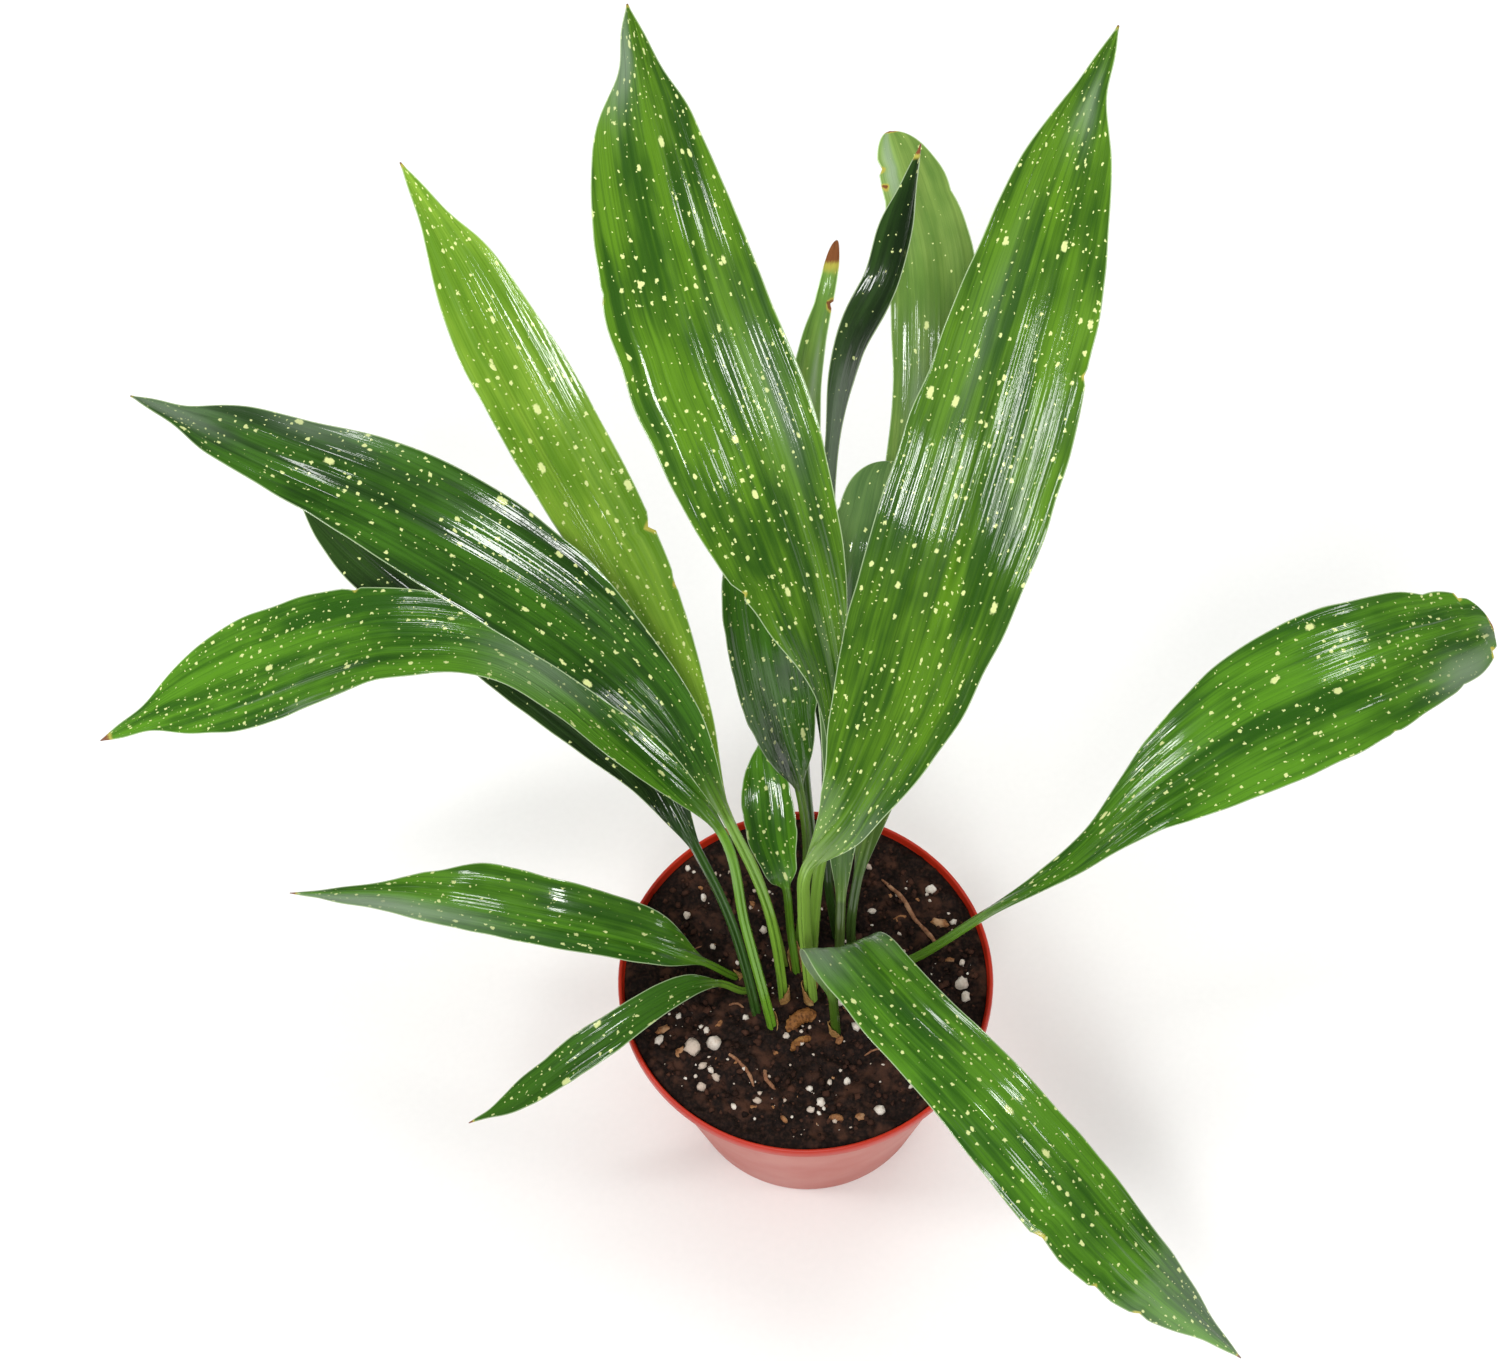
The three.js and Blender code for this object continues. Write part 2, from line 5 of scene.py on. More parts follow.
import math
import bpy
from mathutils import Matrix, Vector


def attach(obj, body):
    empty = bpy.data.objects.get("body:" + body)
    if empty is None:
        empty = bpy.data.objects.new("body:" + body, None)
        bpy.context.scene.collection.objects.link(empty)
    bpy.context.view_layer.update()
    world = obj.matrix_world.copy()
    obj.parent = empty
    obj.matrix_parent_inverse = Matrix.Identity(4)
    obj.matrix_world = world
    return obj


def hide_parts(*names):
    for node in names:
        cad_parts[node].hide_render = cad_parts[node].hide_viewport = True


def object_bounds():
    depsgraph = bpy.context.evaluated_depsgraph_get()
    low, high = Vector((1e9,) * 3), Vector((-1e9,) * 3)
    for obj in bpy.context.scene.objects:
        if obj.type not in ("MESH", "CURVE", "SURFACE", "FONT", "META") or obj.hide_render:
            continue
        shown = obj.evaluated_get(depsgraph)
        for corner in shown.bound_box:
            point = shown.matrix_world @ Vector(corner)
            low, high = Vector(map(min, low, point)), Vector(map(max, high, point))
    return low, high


bl_info = {
    "name": "Potted cast iron plant",
    "version": (1, 0, 0),
    "blender": (4, 5, 0),
    "location": "View3D > Sidebar > Plant",
    "description": "Dresses the frame of a speckled cast iron plant in a nursery pot",
    "category": "Add Mesh",
}

from functools import partial, reduce

import bpy
import numpy as np
from bpy.props import FloatProperty, FloatVectorProperty, IntProperty, PointerProperty
from mathutils import Euler, Matrix, Vector

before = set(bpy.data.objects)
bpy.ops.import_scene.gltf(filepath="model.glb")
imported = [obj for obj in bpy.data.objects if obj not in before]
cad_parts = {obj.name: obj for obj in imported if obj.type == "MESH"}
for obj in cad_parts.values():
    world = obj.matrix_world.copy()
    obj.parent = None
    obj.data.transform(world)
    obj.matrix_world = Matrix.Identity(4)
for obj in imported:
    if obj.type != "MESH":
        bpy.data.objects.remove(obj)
CAD_BOX = [list(corner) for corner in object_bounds()]
BODY = "root"
MM = 0.001

# Heights of a stalk's end in the soil and of its straight part's top, in millimetres
STALK_FOOT = (80, 98)
# Sections of a leaf: stations along the stalk and the blade, columns across
STALK_STEPS = 26
BLADE_STEPS = 112
COLUMNS = 53
# Steps between two points of a route, sides of the soil's grid, heaps of soil and drain holes
ROUTE_STEPS = 40
SOIL_STEPS = 230
HEAPS = 3600
DRAINS = 6
# Radius at which the soil lies 1.2 times its relief below its middle, in millimetres
SOIL_REACH = 76
# Rows and columns of a table of random values
CELLS = 128
# Points nearer than this are joined along the seam of a tube or of a sheath, in metres
SEAM = 4e-7
THIN_SEAM = 1e-7

# Softboxes: heading and rise in degrees, distance, width and height in metres, and the setting
# that gives their power
LAMPS = {
    "front_softbox": (-97, 47, 1.9, 0.32, 0.66, "key_power"),
    "left_softbox": (-170, 47, 1.9, 0.24, 0.9, "side_power"),
    "right_softbox": (-14, 26, 1.8, 0.4, 0.3, "rim_power"),
    "top_diffuser": (75, 64, 1.9, 1.6, 1.2, "top_power"),
}
# Point that every softbox faces, in metres
LAMP_AIM = (0, 0.05, 0.27)
# Camera: place in metres, degrees down and turned, focal length and sensor width in millimetres
CAMERA_PLACE = (-0.0161, -0.465, 1.1015)
CAMERA_DOWN = 58.7
CAMERA_ROLL = 3
CAMERA_LENS = 64.8
CAMERA_SENSOR = 36

# What every leaf's row gives in order, in millimetres and degrees. The route is the midrib's way
# from the foot to the tip; left and right are each half's width at each eighth of the blade;
# lean, roll and fold are the heading in plan, the turn about the midrib and the rise of both
# halves, each at the collar, the middle and the tip; wave is the height, count and phase of the
# broad ripples; kind is the finish; the last is the stalk's lightness, painted light and shade
# that is lighter on stalks in front and darker on stalks in the shade at the back.
LEAF_ROW = ("name", "foot", "route", "left", "right", "lean", "roll", "fold", "wave", "kind", "stalk_light_and_shade")
# What a row gives only where it differs: half width of the stalk; the point of the route where
# the blade begins; a round tip; how far each half is drawn in before the tip; lightness of the
# left half, right half, base and tip, which is painted light and shade, partly the leaf's own
# lighter or darker green; length of the brown tip; side, place along, depth and length of torn
# edges; place across, place along and radius of brown spots; place across and along, width,
# length and strength of painted grey sheen, partly the leaf's own grey.
LEAF_USUAL = {"stalk": 2.0, "collar": 3, "blunt": False, "beak": (0, 0), "tone": (0, 0, 0, 0),
              "dry": 0, "nicks": (), "spots": (), "blooms": ()}


def leaf_row(*given, **others):
    """One leaf; its route starts with the straight part of the stalk above the foot."""
    row = {**LEAF_USUAL, **dict(zip(LEAF_ROW, given)), **others}
    row["route"] = [(*row["foot"], height) for height in STALK_FOOT] + row["route"]
    return row


LEAVES = [
    leaf_row(
        "leaf_left_tall", (-8, 5),
        [(-17, 22, 150), (-28, 32, 187), (-39, 57, 224), (-55, 85, 258), (-86, 129, 310),
         (-112, 172, 350), (-132, 204, 372)],
        [8, 12, 14, 16, 17, 17, 10], [6, 11, 16, 19, 19, 16, 11],
        (125, 122, 121), (0, 5, 5), (30, 10, 8), (0.6, 3, 0.4), "young", 0.15, beak=(0.3, 0.35),
        tone=(0.08, 0.08, 0.18, 0.1), dry=2, nicks=[(1, 0.42, 2.5, 5), (1, 0.34, 1.5, 3)]),
    leaf_row(
        "leaf_centre_tall", (2, -4),
        [(6, 9, 172), (13, 20, 222), (13, 41, 252), (5, 63, 290), (-9, 91, 332), (-27, 135, 370),
         (-40, 191, 396), (-47, 238, 410)],
        [5, 18, 29, 34, 34, 28, 18], [5, 15, 22, 25, 23, 20, 13],
        (95, 114, 100), (5, 5, 0), (25, 8, 6), (0.8, 3, 1.0), "mid", 0.1, stalk=2.2, beak=(0.55, 0.25),
        tone=(0.1, 0, -0.18, -0.12), dry=1, nicks=[(-1, 0.3, 1.6, 6), (-1, 0.66, 1, 4)],
        blooms=[(-0.7, 0.93, 0.5, 0.07, 0.6), (0.5, 0.5, 0.35, 0.12, 0.3)]),
    leaf_row(
        "leaf_left_arching", (-9, -10),
        [(-14, 3, 163), (-27, 17, 208), (-51, 48, 250), (-87, 71, 280), (-139, 97, 303),
         (-191, 126, 306), (-243, 164, 296)],
        [8, 17, 20, 20, 16, 11, 7], [9, 14, 22, 25, 24, 19, 12],
        (130, 152, 146), (10, 16, 10), (25, 8, 6), (0.8, 3, 2.0), "deep", 0.4, beak=(0.45, 0.5),
        tone=(-0.1, -0.1, 0.1, -0.1), dry=1,
        blooms=[(0.3, 0.95, 0.9, 0.12, 0.55), (0.9, 0.72, 0.3, 0.1, 0.4)]),
    leaf_row(
        "leaf_left_drooping", (-14, -22),
        [(-23, 2, 150), (-30, 22, 190), (-59, 48, 214), (-103, 84, 230), (-150, 99, 226),
         (-211, 108, 190), (-286, 107, 140)],
        [11, 15, 17, 23, 27, 24, 13], [10, 11, 12, 16, 21, 21, 12],
        (138, 165, 179), (10, 15, 25), (25, 8, 6), (0.8, 2, 0.5), "bright", 0.45, beak=(0.5, 0.5),
        tone=(0, 0, -0.1, 0.1), dry=6, nicks=[(1, 0.55, 1.2, 5)], blooms=[(-0.2, 0.3, 0.8, 0.09, 0.5)]),
    leaf_row(
        "leaf_left_shaded", (-20, -16),
        [(-28, 8, 137), (-40, 27, 166), (-60, 59, 190), (-98, 96, 202), (-141, 128, 212),
         (-181, 167, 214), (-201, 190, 208)],
        [11, 19, 21, 20, 19, 19, 12], [8, 15, 18, 18, 18, 16, 11],
        (121, 140, 133), (10, 15, 15), (25, 8, 6), (0.6, 2, 0.0), "shaded", 0.2, beak=(0.2, 0.2), dry=2),
    leaf_row(
        "leaf_right_tall", (2, -10),
        [(0, 0, 168), (2, 1, 198), (18, 7, 228), (39, 30, 268), (58, 66, 315), (80, 118, 355),
         (101, 169, 383), (127, 227, 398)],
        [15, 27, 29, 28, 24, 19, 12], [15, 26, 31, 33, 30, 24, 13],
        (40, 60, 66), (0, -5, -5), (30, 8, 6), (0.8, 3, 0.0), "mid", 0.35, stalk=2.5, beak=(0.25, 0.55),
        tone=(0, 0.05, 0.1, 0), dry=1, nicks=[(1, 0.62, 1.2, 4)],
        blooms=[(0.1, 0.9, 0.4, 0.05, 0.5), (-0.4, 0.66, 0.25, 0.12, 0.25)]),
    leaf_row(
        "leaf_back_right", (20, 9),
        [(19, 10, 128), (22, 19, 150), (32, 42, 180), (44, 81, 220), (50, 121, 262), (56, 160, 303),
         (57, 189, 320), (49, 257, 317)],
        [9, 14, 15, 13, 12, 14, 10], [8, 17, 19, 20, 20, 19, 16],
        (65, 80, 90), (0, 0, 0), (25, 8, 10), (0.6, 2, 0.0), "pale", -0.5, blunt=True,
        tone=(0.25, 0.02, -0.4, 0.1), dry=1, nicks=[(-1, 0.93, 2, 6)], spots=[(-0.85, 0.9, 1.5)],
        blooms=[(-0.45, 0.93, 0.35, 0.1, 0.7), (-0.2, 0.58, 0.35, 0.09, 0.6)]),
    leaf_row(
        "leaf_back_narrow", (14, 17),
        [(11, 26, 138), (12, 55, 184), (14, 90, 230), (18, 130, 266), (28, 153, 318), (41, 167, 339),
         (49, 190, 348), (57, 217, 353)],
        [5, 5, 4, 3, 6, 8, 8], [5, 5, 4, 3, 6, 9, 8],
        (88, 80, 65), (10, 20, 25), (25, 20, 30), (0.4, 2, 0.0), "shaded", -0.4, stalk=1.9,
        beak=(0.3, 0.3), tone=(0, -0.1, -0.3, 0), dry=6, blooms=[(0, 0.5, 1.5, 0.16, 0.55)]),
    leaf_row(
        "leaf_back_folded", (6, 24),
        [(6, 39, 130), (4, 64, 168), (6, 111, 212), (11, 166, 250), (17, 186, 280), (23, 200, 298),
         (26, 215, 304)],
        [5, 8, 9, 10, 10, 8, 5], [5, 8, 10, 11, 9, 6, 4],
        (92, 85, 75), (0, 15, 20), (30, 30, 35), (0.3, 2, 0.0), "pale", -0.4, stalk=1.8, blunt=True,
        tone=(0.25, 0.05, -0.2, 0.5), dry=12, nicks=[(1, 0.88, 2, 5)], spots=[(0.85, 0.88, 2.5)],
        blooms=[(0.2, 0.72, 0.3, 0.12, 0.6)]),
    leaf_row(
        "leaf_back_rounded", (14, -4),
        [(14, 2, 125), (15, 11, 148), (18, 36, 190), (26, 68, 242), (34, 90, 280), (38, 108, 284),
         (41, 124, 284)],
        [5, 8, 11, 15, 18, 19, 17], [5, 8, 11, 15, 18, 19, 17],
        (82, 78, 88), (0, 0, 0), (25, 8, 6), (0.5, 2, 0.0), "grey", -0.5, blunt=True,
        tone=(0.1, 0.12, -0.2, 0.15)),
    leaf_row(
        "leaf_inner_centre", (-2, 15),
        [(3, 36, 145), (1, 47, 175), (-6, 59, 210), (-11, 74, 243), (-13, 93, 270), (-15, 115, 290)],
        [8, 12, 14, 14, 14, 12, 8], [9, 14, 18, 19, 18, 14, 9],
        (118, 105, 93), (0, 0, 0), (25, 10, 8), (0.5, 2, 0.0), "deep", -0.3, stalk=1.8,
        tone=(-0.25, 0.05, -0.35, -0.1)),
    leaf_row(
        "leaf_inner_curled", (-3, 1),
        [(-5, 14, 118), (-6, 23, 138), (-10, 36, 155), (-11, 51, 168), (-13, 69, 178)],
        [8, 10, 12, 12, 12, 10, 6], [6, 8, 10, 10, 9, 8, 5],
        (110, 97, 92), (0, 0, 0), (40, 20, 10), (0.4, 2, 0.0), "bright", -0.1, stalk=1.7,
        tone=(0.08, 0.08, 0.08, 0.15), blooms=[(0, 0.1, 1, 0.1, 0.25)]),
    leaf_row(
        "leaf_front_right", (11, -25),
        [(10, -20, 125), (9, -14, 148), (14, -17, 164), (24, -34, 173), (36, -52, 176), (64, -84, 173),
         (88, -108, 155), (118, -132, 120), (161, -152, 60)],
        [14, 16, 15, 15, 15, 12, 7], [15, 17, 19, 22, 23, 18, 9],
        (-90, -48, -30), (0, -8, -10), (8, 10, 8), (0.8, 3, 0.0), "bright", -0.45, collar=2,
        beak=(0.3, 0.2), tone=(-0.25, -0.12, -0.05, 0.1), dry=3,
        nicks=[(1, 0.6, 2.2, 12), (1, 0.7, 1.4, 9), (1, 0.78, 1.6, 7)],
        blooms=[(0.6, 0.1, 0.7, 0.09, 0.8), (-0.8, 0.14, 0.4, 0.08, 0.4)]),
    leaf_row(
        "leaf_right_blunt", (31, 2),
        [(47, 4, 110), (72, 6, 140), (100, 10, 168), (134, 29, 195), (173, 48, 210), (228, 73, 205),
         (282, 103, 180)],
        [4, 6, 15, 24, 28, 26, 20], [4, 12, 23, 30, 30, 26, 19],
        (15, 26, 28), (-10, -20, -20), (25, 8, 6), (1.0, 3, 0.0), "bright", 0.1, stalk=1.9, blunt=True,
        tone=(0, -0.1, 0, -0.2), dry=1, nicks=[(-1, 0.95, 1.8, 5), (1, 0.97, 2, 4), (1, 0.7, 1, 3)],
        blooms=[(0.75, 0.9, 0.4, 0.09, 0.75), (0.4, 0.99, 0.8, 0.03, 0.5)]),
    leaf_row(
        "leaf_left_short", (-25, 2),
        [(-31, 1, 108), (-40, 1, 120), (-65, 4, 138), (-99, 9, 150), (-133, 19, 148), (-165, 32, 135),
         (-210, 47, 110)],
        [10, 12, 13, 12, 11, 8, 5], [12, 15, 16, 17, 10, 4, 2],
        (176, 165, 158), (10, 15, 15), (25, 14, 25), (0.6, 3, 0.0), "bright", 0, stalk=1.6,
        beak=(0.3, 0.3), tone=(0, -0.15, -0.1, 0), dry=4, blooms=[(-0.65, 0.75, 0.5, 0.3, 0.85)]),
    leaf_row(
        "leaf_front_left", (-22, -3),
        [(-27, -5, 105), (-34, -5, 112), (-46, -8, 118), (-67, -19, 120), (-91, -31, 112),
         (-121, -43, 92), (-139, -45, 78)],
        [5, 7, 9, 9, 8, 6, 3], [5, 6, 6, 7, 6, 6, 3],
        (-165, -152, -170), (5, 10, 10), (20, 8, 6), (0.4, 2, 0.0), "deep", 0, stalk=1.5,
        beak=(0.3, 0.4), tone=(-0.15, -0.05, -0.15, -0.1), dry=3),
]

# Rootstock showing at the surface: route and half width
ROOTSTOCK = {
    "rootstock_large": ([(-8, -23, 100.5), (-5, -19, 103.5), (-1, -17, 104), (3, -17, 100.5)], 3.0),
    "rootstock_small": ([(-8, -31, 101.5), (-4, -28, 103), (1, -26, 102)], 1.7),
}

# Perlite and bark on the soil: x, y and width
PERLITE = [
    (54, 37, 5), (-47, -28, 7), (-38, -27, 7), (-43, -36, 4), (-38, -41, 4), (-44, -45, 4),
    (-60, -24, 4), (-52, -14, 3), (-47, 31, 4), (-46, 53, 3), (-40, 39, 3), (-16, 22, 4),
    (-37, 16, 3), (-1, -48, 3), (7, -46, 3), (14, -46, 4), (3, -54, 4), (-1, -57, 3),
    (-22, -52, 4), (-31, -54, 3), (26, -59, 4), (63, -6, 6), (64, -12, 4), (64, 3, 3),
    (29, 49, 3), (29, 28, 3), (-9, -25, 3), (14, -12, 4), (19, -23, 4), (62, 22, 3),
    (-25, -16, 3), (-41, -21, 3), (-40, -38, 3), (-35, -37, 2), (-46, -40, 2),
]
BARK = [
    (40, 24, 5), (56, 22, 7), (59, 5, 4), (9, -61, 5), (18, -61, 5), (-58, -19, 5),
    (-36, -18, 4), (-52, -30, 5), (-30, -36, 4), (12, -28, 5), (45, -38, 4), (-20, 34, 4),
    (50, -20, 5), (-12, -60, 4),
]
# Thin roots and twigs lying on the soil: route in plan, and half width
TWIGS = [
    ([(34, 43), (42, 33), (46, 24), (53, 14), (55, 10)], 0.9),
    ([(-33, -31), (-29, -35), (-25, -40), (-23, -46)], 0.7),
    ([(-18, -38), (-18, -43), (-14, -49)], 0.8),
    ([(-50, 8), (-44, 15), (-34, 18)], 0.4),
    ([(20, -36), (27, -33), (35, -36)], 0.4),
    ([(-36, -12), (-28, -10), (-24, -14)], 0.5),
]
# Papery sheaths at the stalks' feet: leaf, height and width of the wrap in degrees
SHEATHS = [
    ("leaf_inner_curled", 22, 230), ("leaf_left_arching", 18, 200),
    ("leaf_right_tall", 20, 210), ("leaf_centre_tall", 24, 240),
    ("leaf_back_rounded", 15, 200), ("leaf_front_right", 15, 220),
    ("leaf_left_drooping", 14, 190), ("leaf_left_short", 13, 200),
]


def linear(code):
    """Linear red, green, blue and alpha from an sRGB hex colour."""
    parts = [int(code[i:i + 2], 16) / 255 for i in (0, 2, 4)]
    return [p / 12.92 if p <= 0.04045 else ((p + 0.055) / 1.055) ** 2.4 for p in parts] + [1.0]


def millimetres(name, description, default):
    """A length property whose default is given in millimetres."""
    return FloatProperty(name=name, description=description, default=default * MM,
                         min=0, subtype="DISTANCE", unit="LENGTH", precision=5)


def paint(name, description, code):
    """A colour property whose default is given as sRGB hex."""
    return FloatVectorProperty(name=name, description=description, default=linear(code),
                               size=4, min=0, max=1, subtype="COLOR")


class PotSettings(bpy.types.PropertyGroup):
    height: millimetres("Height", "Height of the pot", 105)
    rim_radius: millimetres("Rim radius", "Outer radius of the rim band", 76)
    base_radius: millimetres("Base radius", "Radius at the foot of the wall", 52)
    wall: millimetres("Wall", "Thickness of the wall", 1.5)
    floor: millimetres("Floor", "Thickness of the floor", 1.8)
    rim_depth: millimetres("Rim depth", "Height of the rim band", 5)
    rim_step: millimetres("Rim step", "How far the rim band stands out from the wall", 3)
    drain_radius: millimetres("Drain radius", "Radius of each drain hole", 4.5)
    drain_circle: millimetres("Drain circle", "Radius of the circle of drain holes", 38)
    rim_colour: paint("Rim colour", "Saturated plastic of the rim band and inside", "c22d13")
    # Painted light: the outer wall below the rim, washed out to pale pink by bright light
    lit_body_colour: paint("Body colour", "Faded plastic of the wall below the rim", "be5846")


class SoilSettings(bpy.types.PropertyGroup):
    level: millimetres("Level", "Height of the soil surface", 102.5)
    relief: millimetres("Relief", "Height of the broad lumps", 1.1)
    crumb_height: millimetres("Crumb height", "Height of the crumbs on the surface", 1.5)
    crumbs: IntProperty(name="Crumbs", description="Number of loose crumbs", default=1500)
    colour: paint("Colour", "Damp peat", "140b08")
    perlite_colour: paint("Perlite", "Expanded white grains", "e4ddd2")
    bark_colour: paint("Bark", "Fresh bark chips", "9a6b45")
    root_colour: paint("Roots", "Dry roots and twigs", "8c6247")


class LeafSettings(bpy.types.PropertyGroup):
    thickness: millimetres("Thickness", "Thickness of the blade beside the midrib", 0.72)
    edge: millimetres("Edge", "Thickness of the blade at its margin", 0.3)
    rib_height: millimetres("Rib height", "Height of the midrib under the blade", 0.9)
    pleat_width: millimetres("Pleat width", "Width of one long pleat", 4.6)
    pleat_depth: millimetres("Pleat depth", "Height of the long pleats", 0.26)
    frill: millimetres("Frill", "Height of the small waves at the margin", 0.55)
    fleck_colour: paint("Flecks", "Cream flecks in the blade", "dde69a")
    margin_colour: paint("Margin", "Thin pale line along the margin", "bcd2a2")
    dry_colour: paint("Dry tip", "Dead brown tip and spots", "85502c")


class StageSettings(bpy.types.PropertyGroup):
    floor_size: millimetres("Floor size", "Side of the pale floor", 9000)
    floor_colour: paint("Floor", "Matt white paper", "f4f4f2")
    key_power: FloatProperty(name="Key power", description="Front softbox, watts", default=15)
    side_power: FloatProperty(name="Side power", description="Left softbox, watts", default=9)
    rim_power: FloatProperty(name="Rim power", description="Right softbox, watts", default=4)
    top_power: FloatProperty(name="Top power", description="Overhead diffuser, watts", default=16)
    sky: FloatProperty(name="Sky", description="Strength of the even studio fill", default=0.6)
    sky_gloss: FloatProperty(name="Sky gloss", description="The fill as gloss sees it", default=0.06)


# ---------------------------------------------------------------- shaping

def only(piece):
    """Selects one object and makes it active."""
    if bpy.context.object and bpy.context.object.mode != "OBJECT":
        bpy.ops.object.mode_set(mode="OBJECT")
    bpy.ops.object.select_all(action="DESELECT")
    piece.select_set(True)
    bpy.context.view_layer.objects.active = piece


def read_points(mesh):
    """The mesh's points as rows of x, y and z."""
    flat = np.empty(len(mesh.vertices) * 3)
    mesh.vertices.foreach_get("co", flat)
    return flat.reshape(-1, 3)


def write_points(mesh, points):
    """Moves the mesh's points to rows of x, y and z."""
    mesh.vertices.foreach_set("co", np.ascontiguousarray(points, dtype=float).ravel())
    mesh.update()


def keep_values(mesh, name, values):
    """Stores one number or one vector at each point under a name that materials read."""
    values = np.asarray(values, dtype=float)
    kind = "FLOAT" if values.ndim == 1 else "FLOAT_VECTOR"
    layer = mesh.attributes.new(name, kind, "POINT")
    layer.data.foreach_set("value" if values.ndim == 1 else "vector", values.ravel())


def start(primitive, name, **settings):
    """Adds one of Blender's own shapes, alone and under a name."""
    bpy.ops.object.select_all(action="DESELECT")
    primitive(**settings)
    piece = bpy.context.object
    piece.name = piece.data.name = name
    return piece


def face_outward():
    """Turns the faces of the piece in edit mode outward and leaves that mode."""
    bpy.ops.mesh.select_all(action="SELECT")
    bpy.ops.mesh.normals_make_consistent(inside=False)
    bpy.ops.object.mode_set(mode="OBJECT")


def extrude_rings(rings):
    """Draws the selected edge on through rings, given by radius and height from its own on."""
    for (radius, height), (wide, high) in zip(rings, rings[1:]):
        bpy.ops.mesh.extrude_region_move(TRANSFORM_OT_translate={"value": (0, 0, high - height)})
        bpy.ops.transform.resize(value=(wide / radius, wide / radius, 1), center_override=(0, 0, high))


def rolled_grid(name, around, along, place, values=None):
    """A grid rolled into a closed tube whose first and last rows close to a point.

    place(i, v) gives the points for column i and share v of the way along; values(i, v)
    gives the attributes to keep."""
    piece = start(bpy.ops.mesh.primitive_grid_add, name, x_subdivisions=around, y_subdivisions=along,
                  size=1)
    flat = read_points(piece.data)
    column = np.rint((flat[:, 0] + 0.5) * around).astype(int) % around
    row = np.rint((flat[:, 1] + 0.5) * along).astype(int)
    write_points(piece.data, place(column, row))
    for key, value in (values(column, row) if values else {}).items():
        keep_values(piece.data, key, value)
    close_up(piece, SEAM)
    return piece


def close_up(piece, reach):
    """Joins the seams of a piece, turns its faces outward and shades it smooth."""
    only(piece)
    bpy.ops.object.mode_set(mode="EDIT")
    bpy.ops.mesh.select_all(action="SELECT")
    bpy.ops.mesh.remove_doubles(threshold=reach)
    face_outward()
    bpy.ops.object.shade_smooth()


def apply_modifier(piece, kind, **settings):
    """Adds a modifier with its settings and applies it."""
    only(piece)
    modifier = piece.modifiers.new(kind.title(), kind)
    for key, value in settings.items():
        setattr(modifier, key, value)
    bpy.ops.object.modifier_apply(modifier=modifier.name)


def smoothstep(low, high, value):
    """Share of the way from low to high, eased at both ends."""
    k = np.clip((value - low) / (high - low), 0, 1)
    return k * k * (3 - 2 * k)


def mix(first, second, share):
    return first + (second - first) * share


def value_noise(x, y, cell, rng):
    """Smooth noise between -1 and 1 from a table, or a new one, of a random value per cell."""
    table = rng if isinstance(rng, np.ndarray) else rng.uniform(-1, 1, (CELLS, CELLS))
    a, b = x / cell, y / cell
    i, j = np.floor(a).astype(int), np.floor(b).astype(int)
    u, v = smoothstep(0, 1, a - i), smoothstep(0, 1, b - j)
    corner = [table[(i + p) % CELLS, (j + q) % CELLS] for p in (0, 1) for q in (0, 1)]
    return mix(mix(corner[0], corner[1], v), mix(corner[2], corner[3], v), u)


class Route:
    """A smooth way through points, in the frame's metres, read by length."""

    def __init__(self, points, per=ROUTE_STEPS):
        p = np.array(points, dtype=float) * MM
        p = np.vstack([2 * p[0] - p[1], p, 2 * p[-1] - p[-2]])
        u = np.arange(per)[:, None] / per
        rows = []
        for a, b, c, d in zip(p, p[1:], p[2:], p[3:]):
            first, middle, last = (np.linalg.norm(q) ** 0.5 for q in (b - a, c - b, d - c))
            out = middle * ((b - a) / first - (c - a) / (first + middle) + (c - b) / middle)
            into = middle * ((c - b) / middle - (d - b) / (middle + last) + (d - c) / last)
            rows.append(b + out * u + (3 * (c - b) - 2 * out - into) * u ** 2
                        + (2 * (b - c) + out + into) * u ** 3)
        self.points = np.vstack(rows + [p[-2:-1]])
        steps = np.linalg.norm(np.diff(self.points, axis=0), axis=1)
        self.lengths = np.concatenate([[0], np.cumsum(steps)])
        self.total = self.lengths[-1]
        self.headings = np.gradient(self.points, self.lengths, axis=0)

    def share(self, knot, per=ROUTE_STEPS):
        """How far along the whole way a given point of the route lies."""
        return self.lengths[knot * per] / self.total

    def at(self, share):
        """Points and unit headings at shares of the length."""
        s = np.clip(share, 0, 1) * self.total
        point, heading = (np.stack([np.interp(s, self.lengths, table[:, k]) for k in range(3)], -1)
                          for table in (self.points, self.headings))
        return point, heading / np.linalg.norm(heading, axis=-1, keepdims=True)


def tube(name, route, radius, around, along, rough, seed):
    """A rough closed tube along a route, in metres."""
    rng = np.random.default_rng(seed)
    way = Route(route)

    def place(i, row):
        share = (row - 1) / (along - 2)
        point, heading = way.at(share)
        side = np.cross(heading, (0, 0, 1.0))
        side /= np.maximum(np.linalg.norm(side, axis=-1, keepdims=True), 1e-9)
        up = np.cross(side, heading)
        turn = (2 * math.pi * i / around)[:, None]
        lump = value_noise(np.cos(turn[:, 0]) * 2 + 9, share * along / 2.5, 1, rng)
        ends = np.clip(1 - np.abs(2 * share - 1) ** 6 * 0.6, 0, 1)
        size = radius * (1 + rough * lump) * ends * ((row > 0) & (row < along))
        return point + size[:, None] * (np.cos(turn) * side + np.sin(turn) * up)

    return rolled_grid(name, around, along, place)


def wall_line(pot):
    """Height and outer radius of the wall's top, and how much it widens for its height."""
    band = pot.height - pot.rim_depth
    top = pot.rim_radius - pot.rim_step
    return band, top, (top - pot.base_radius) / band


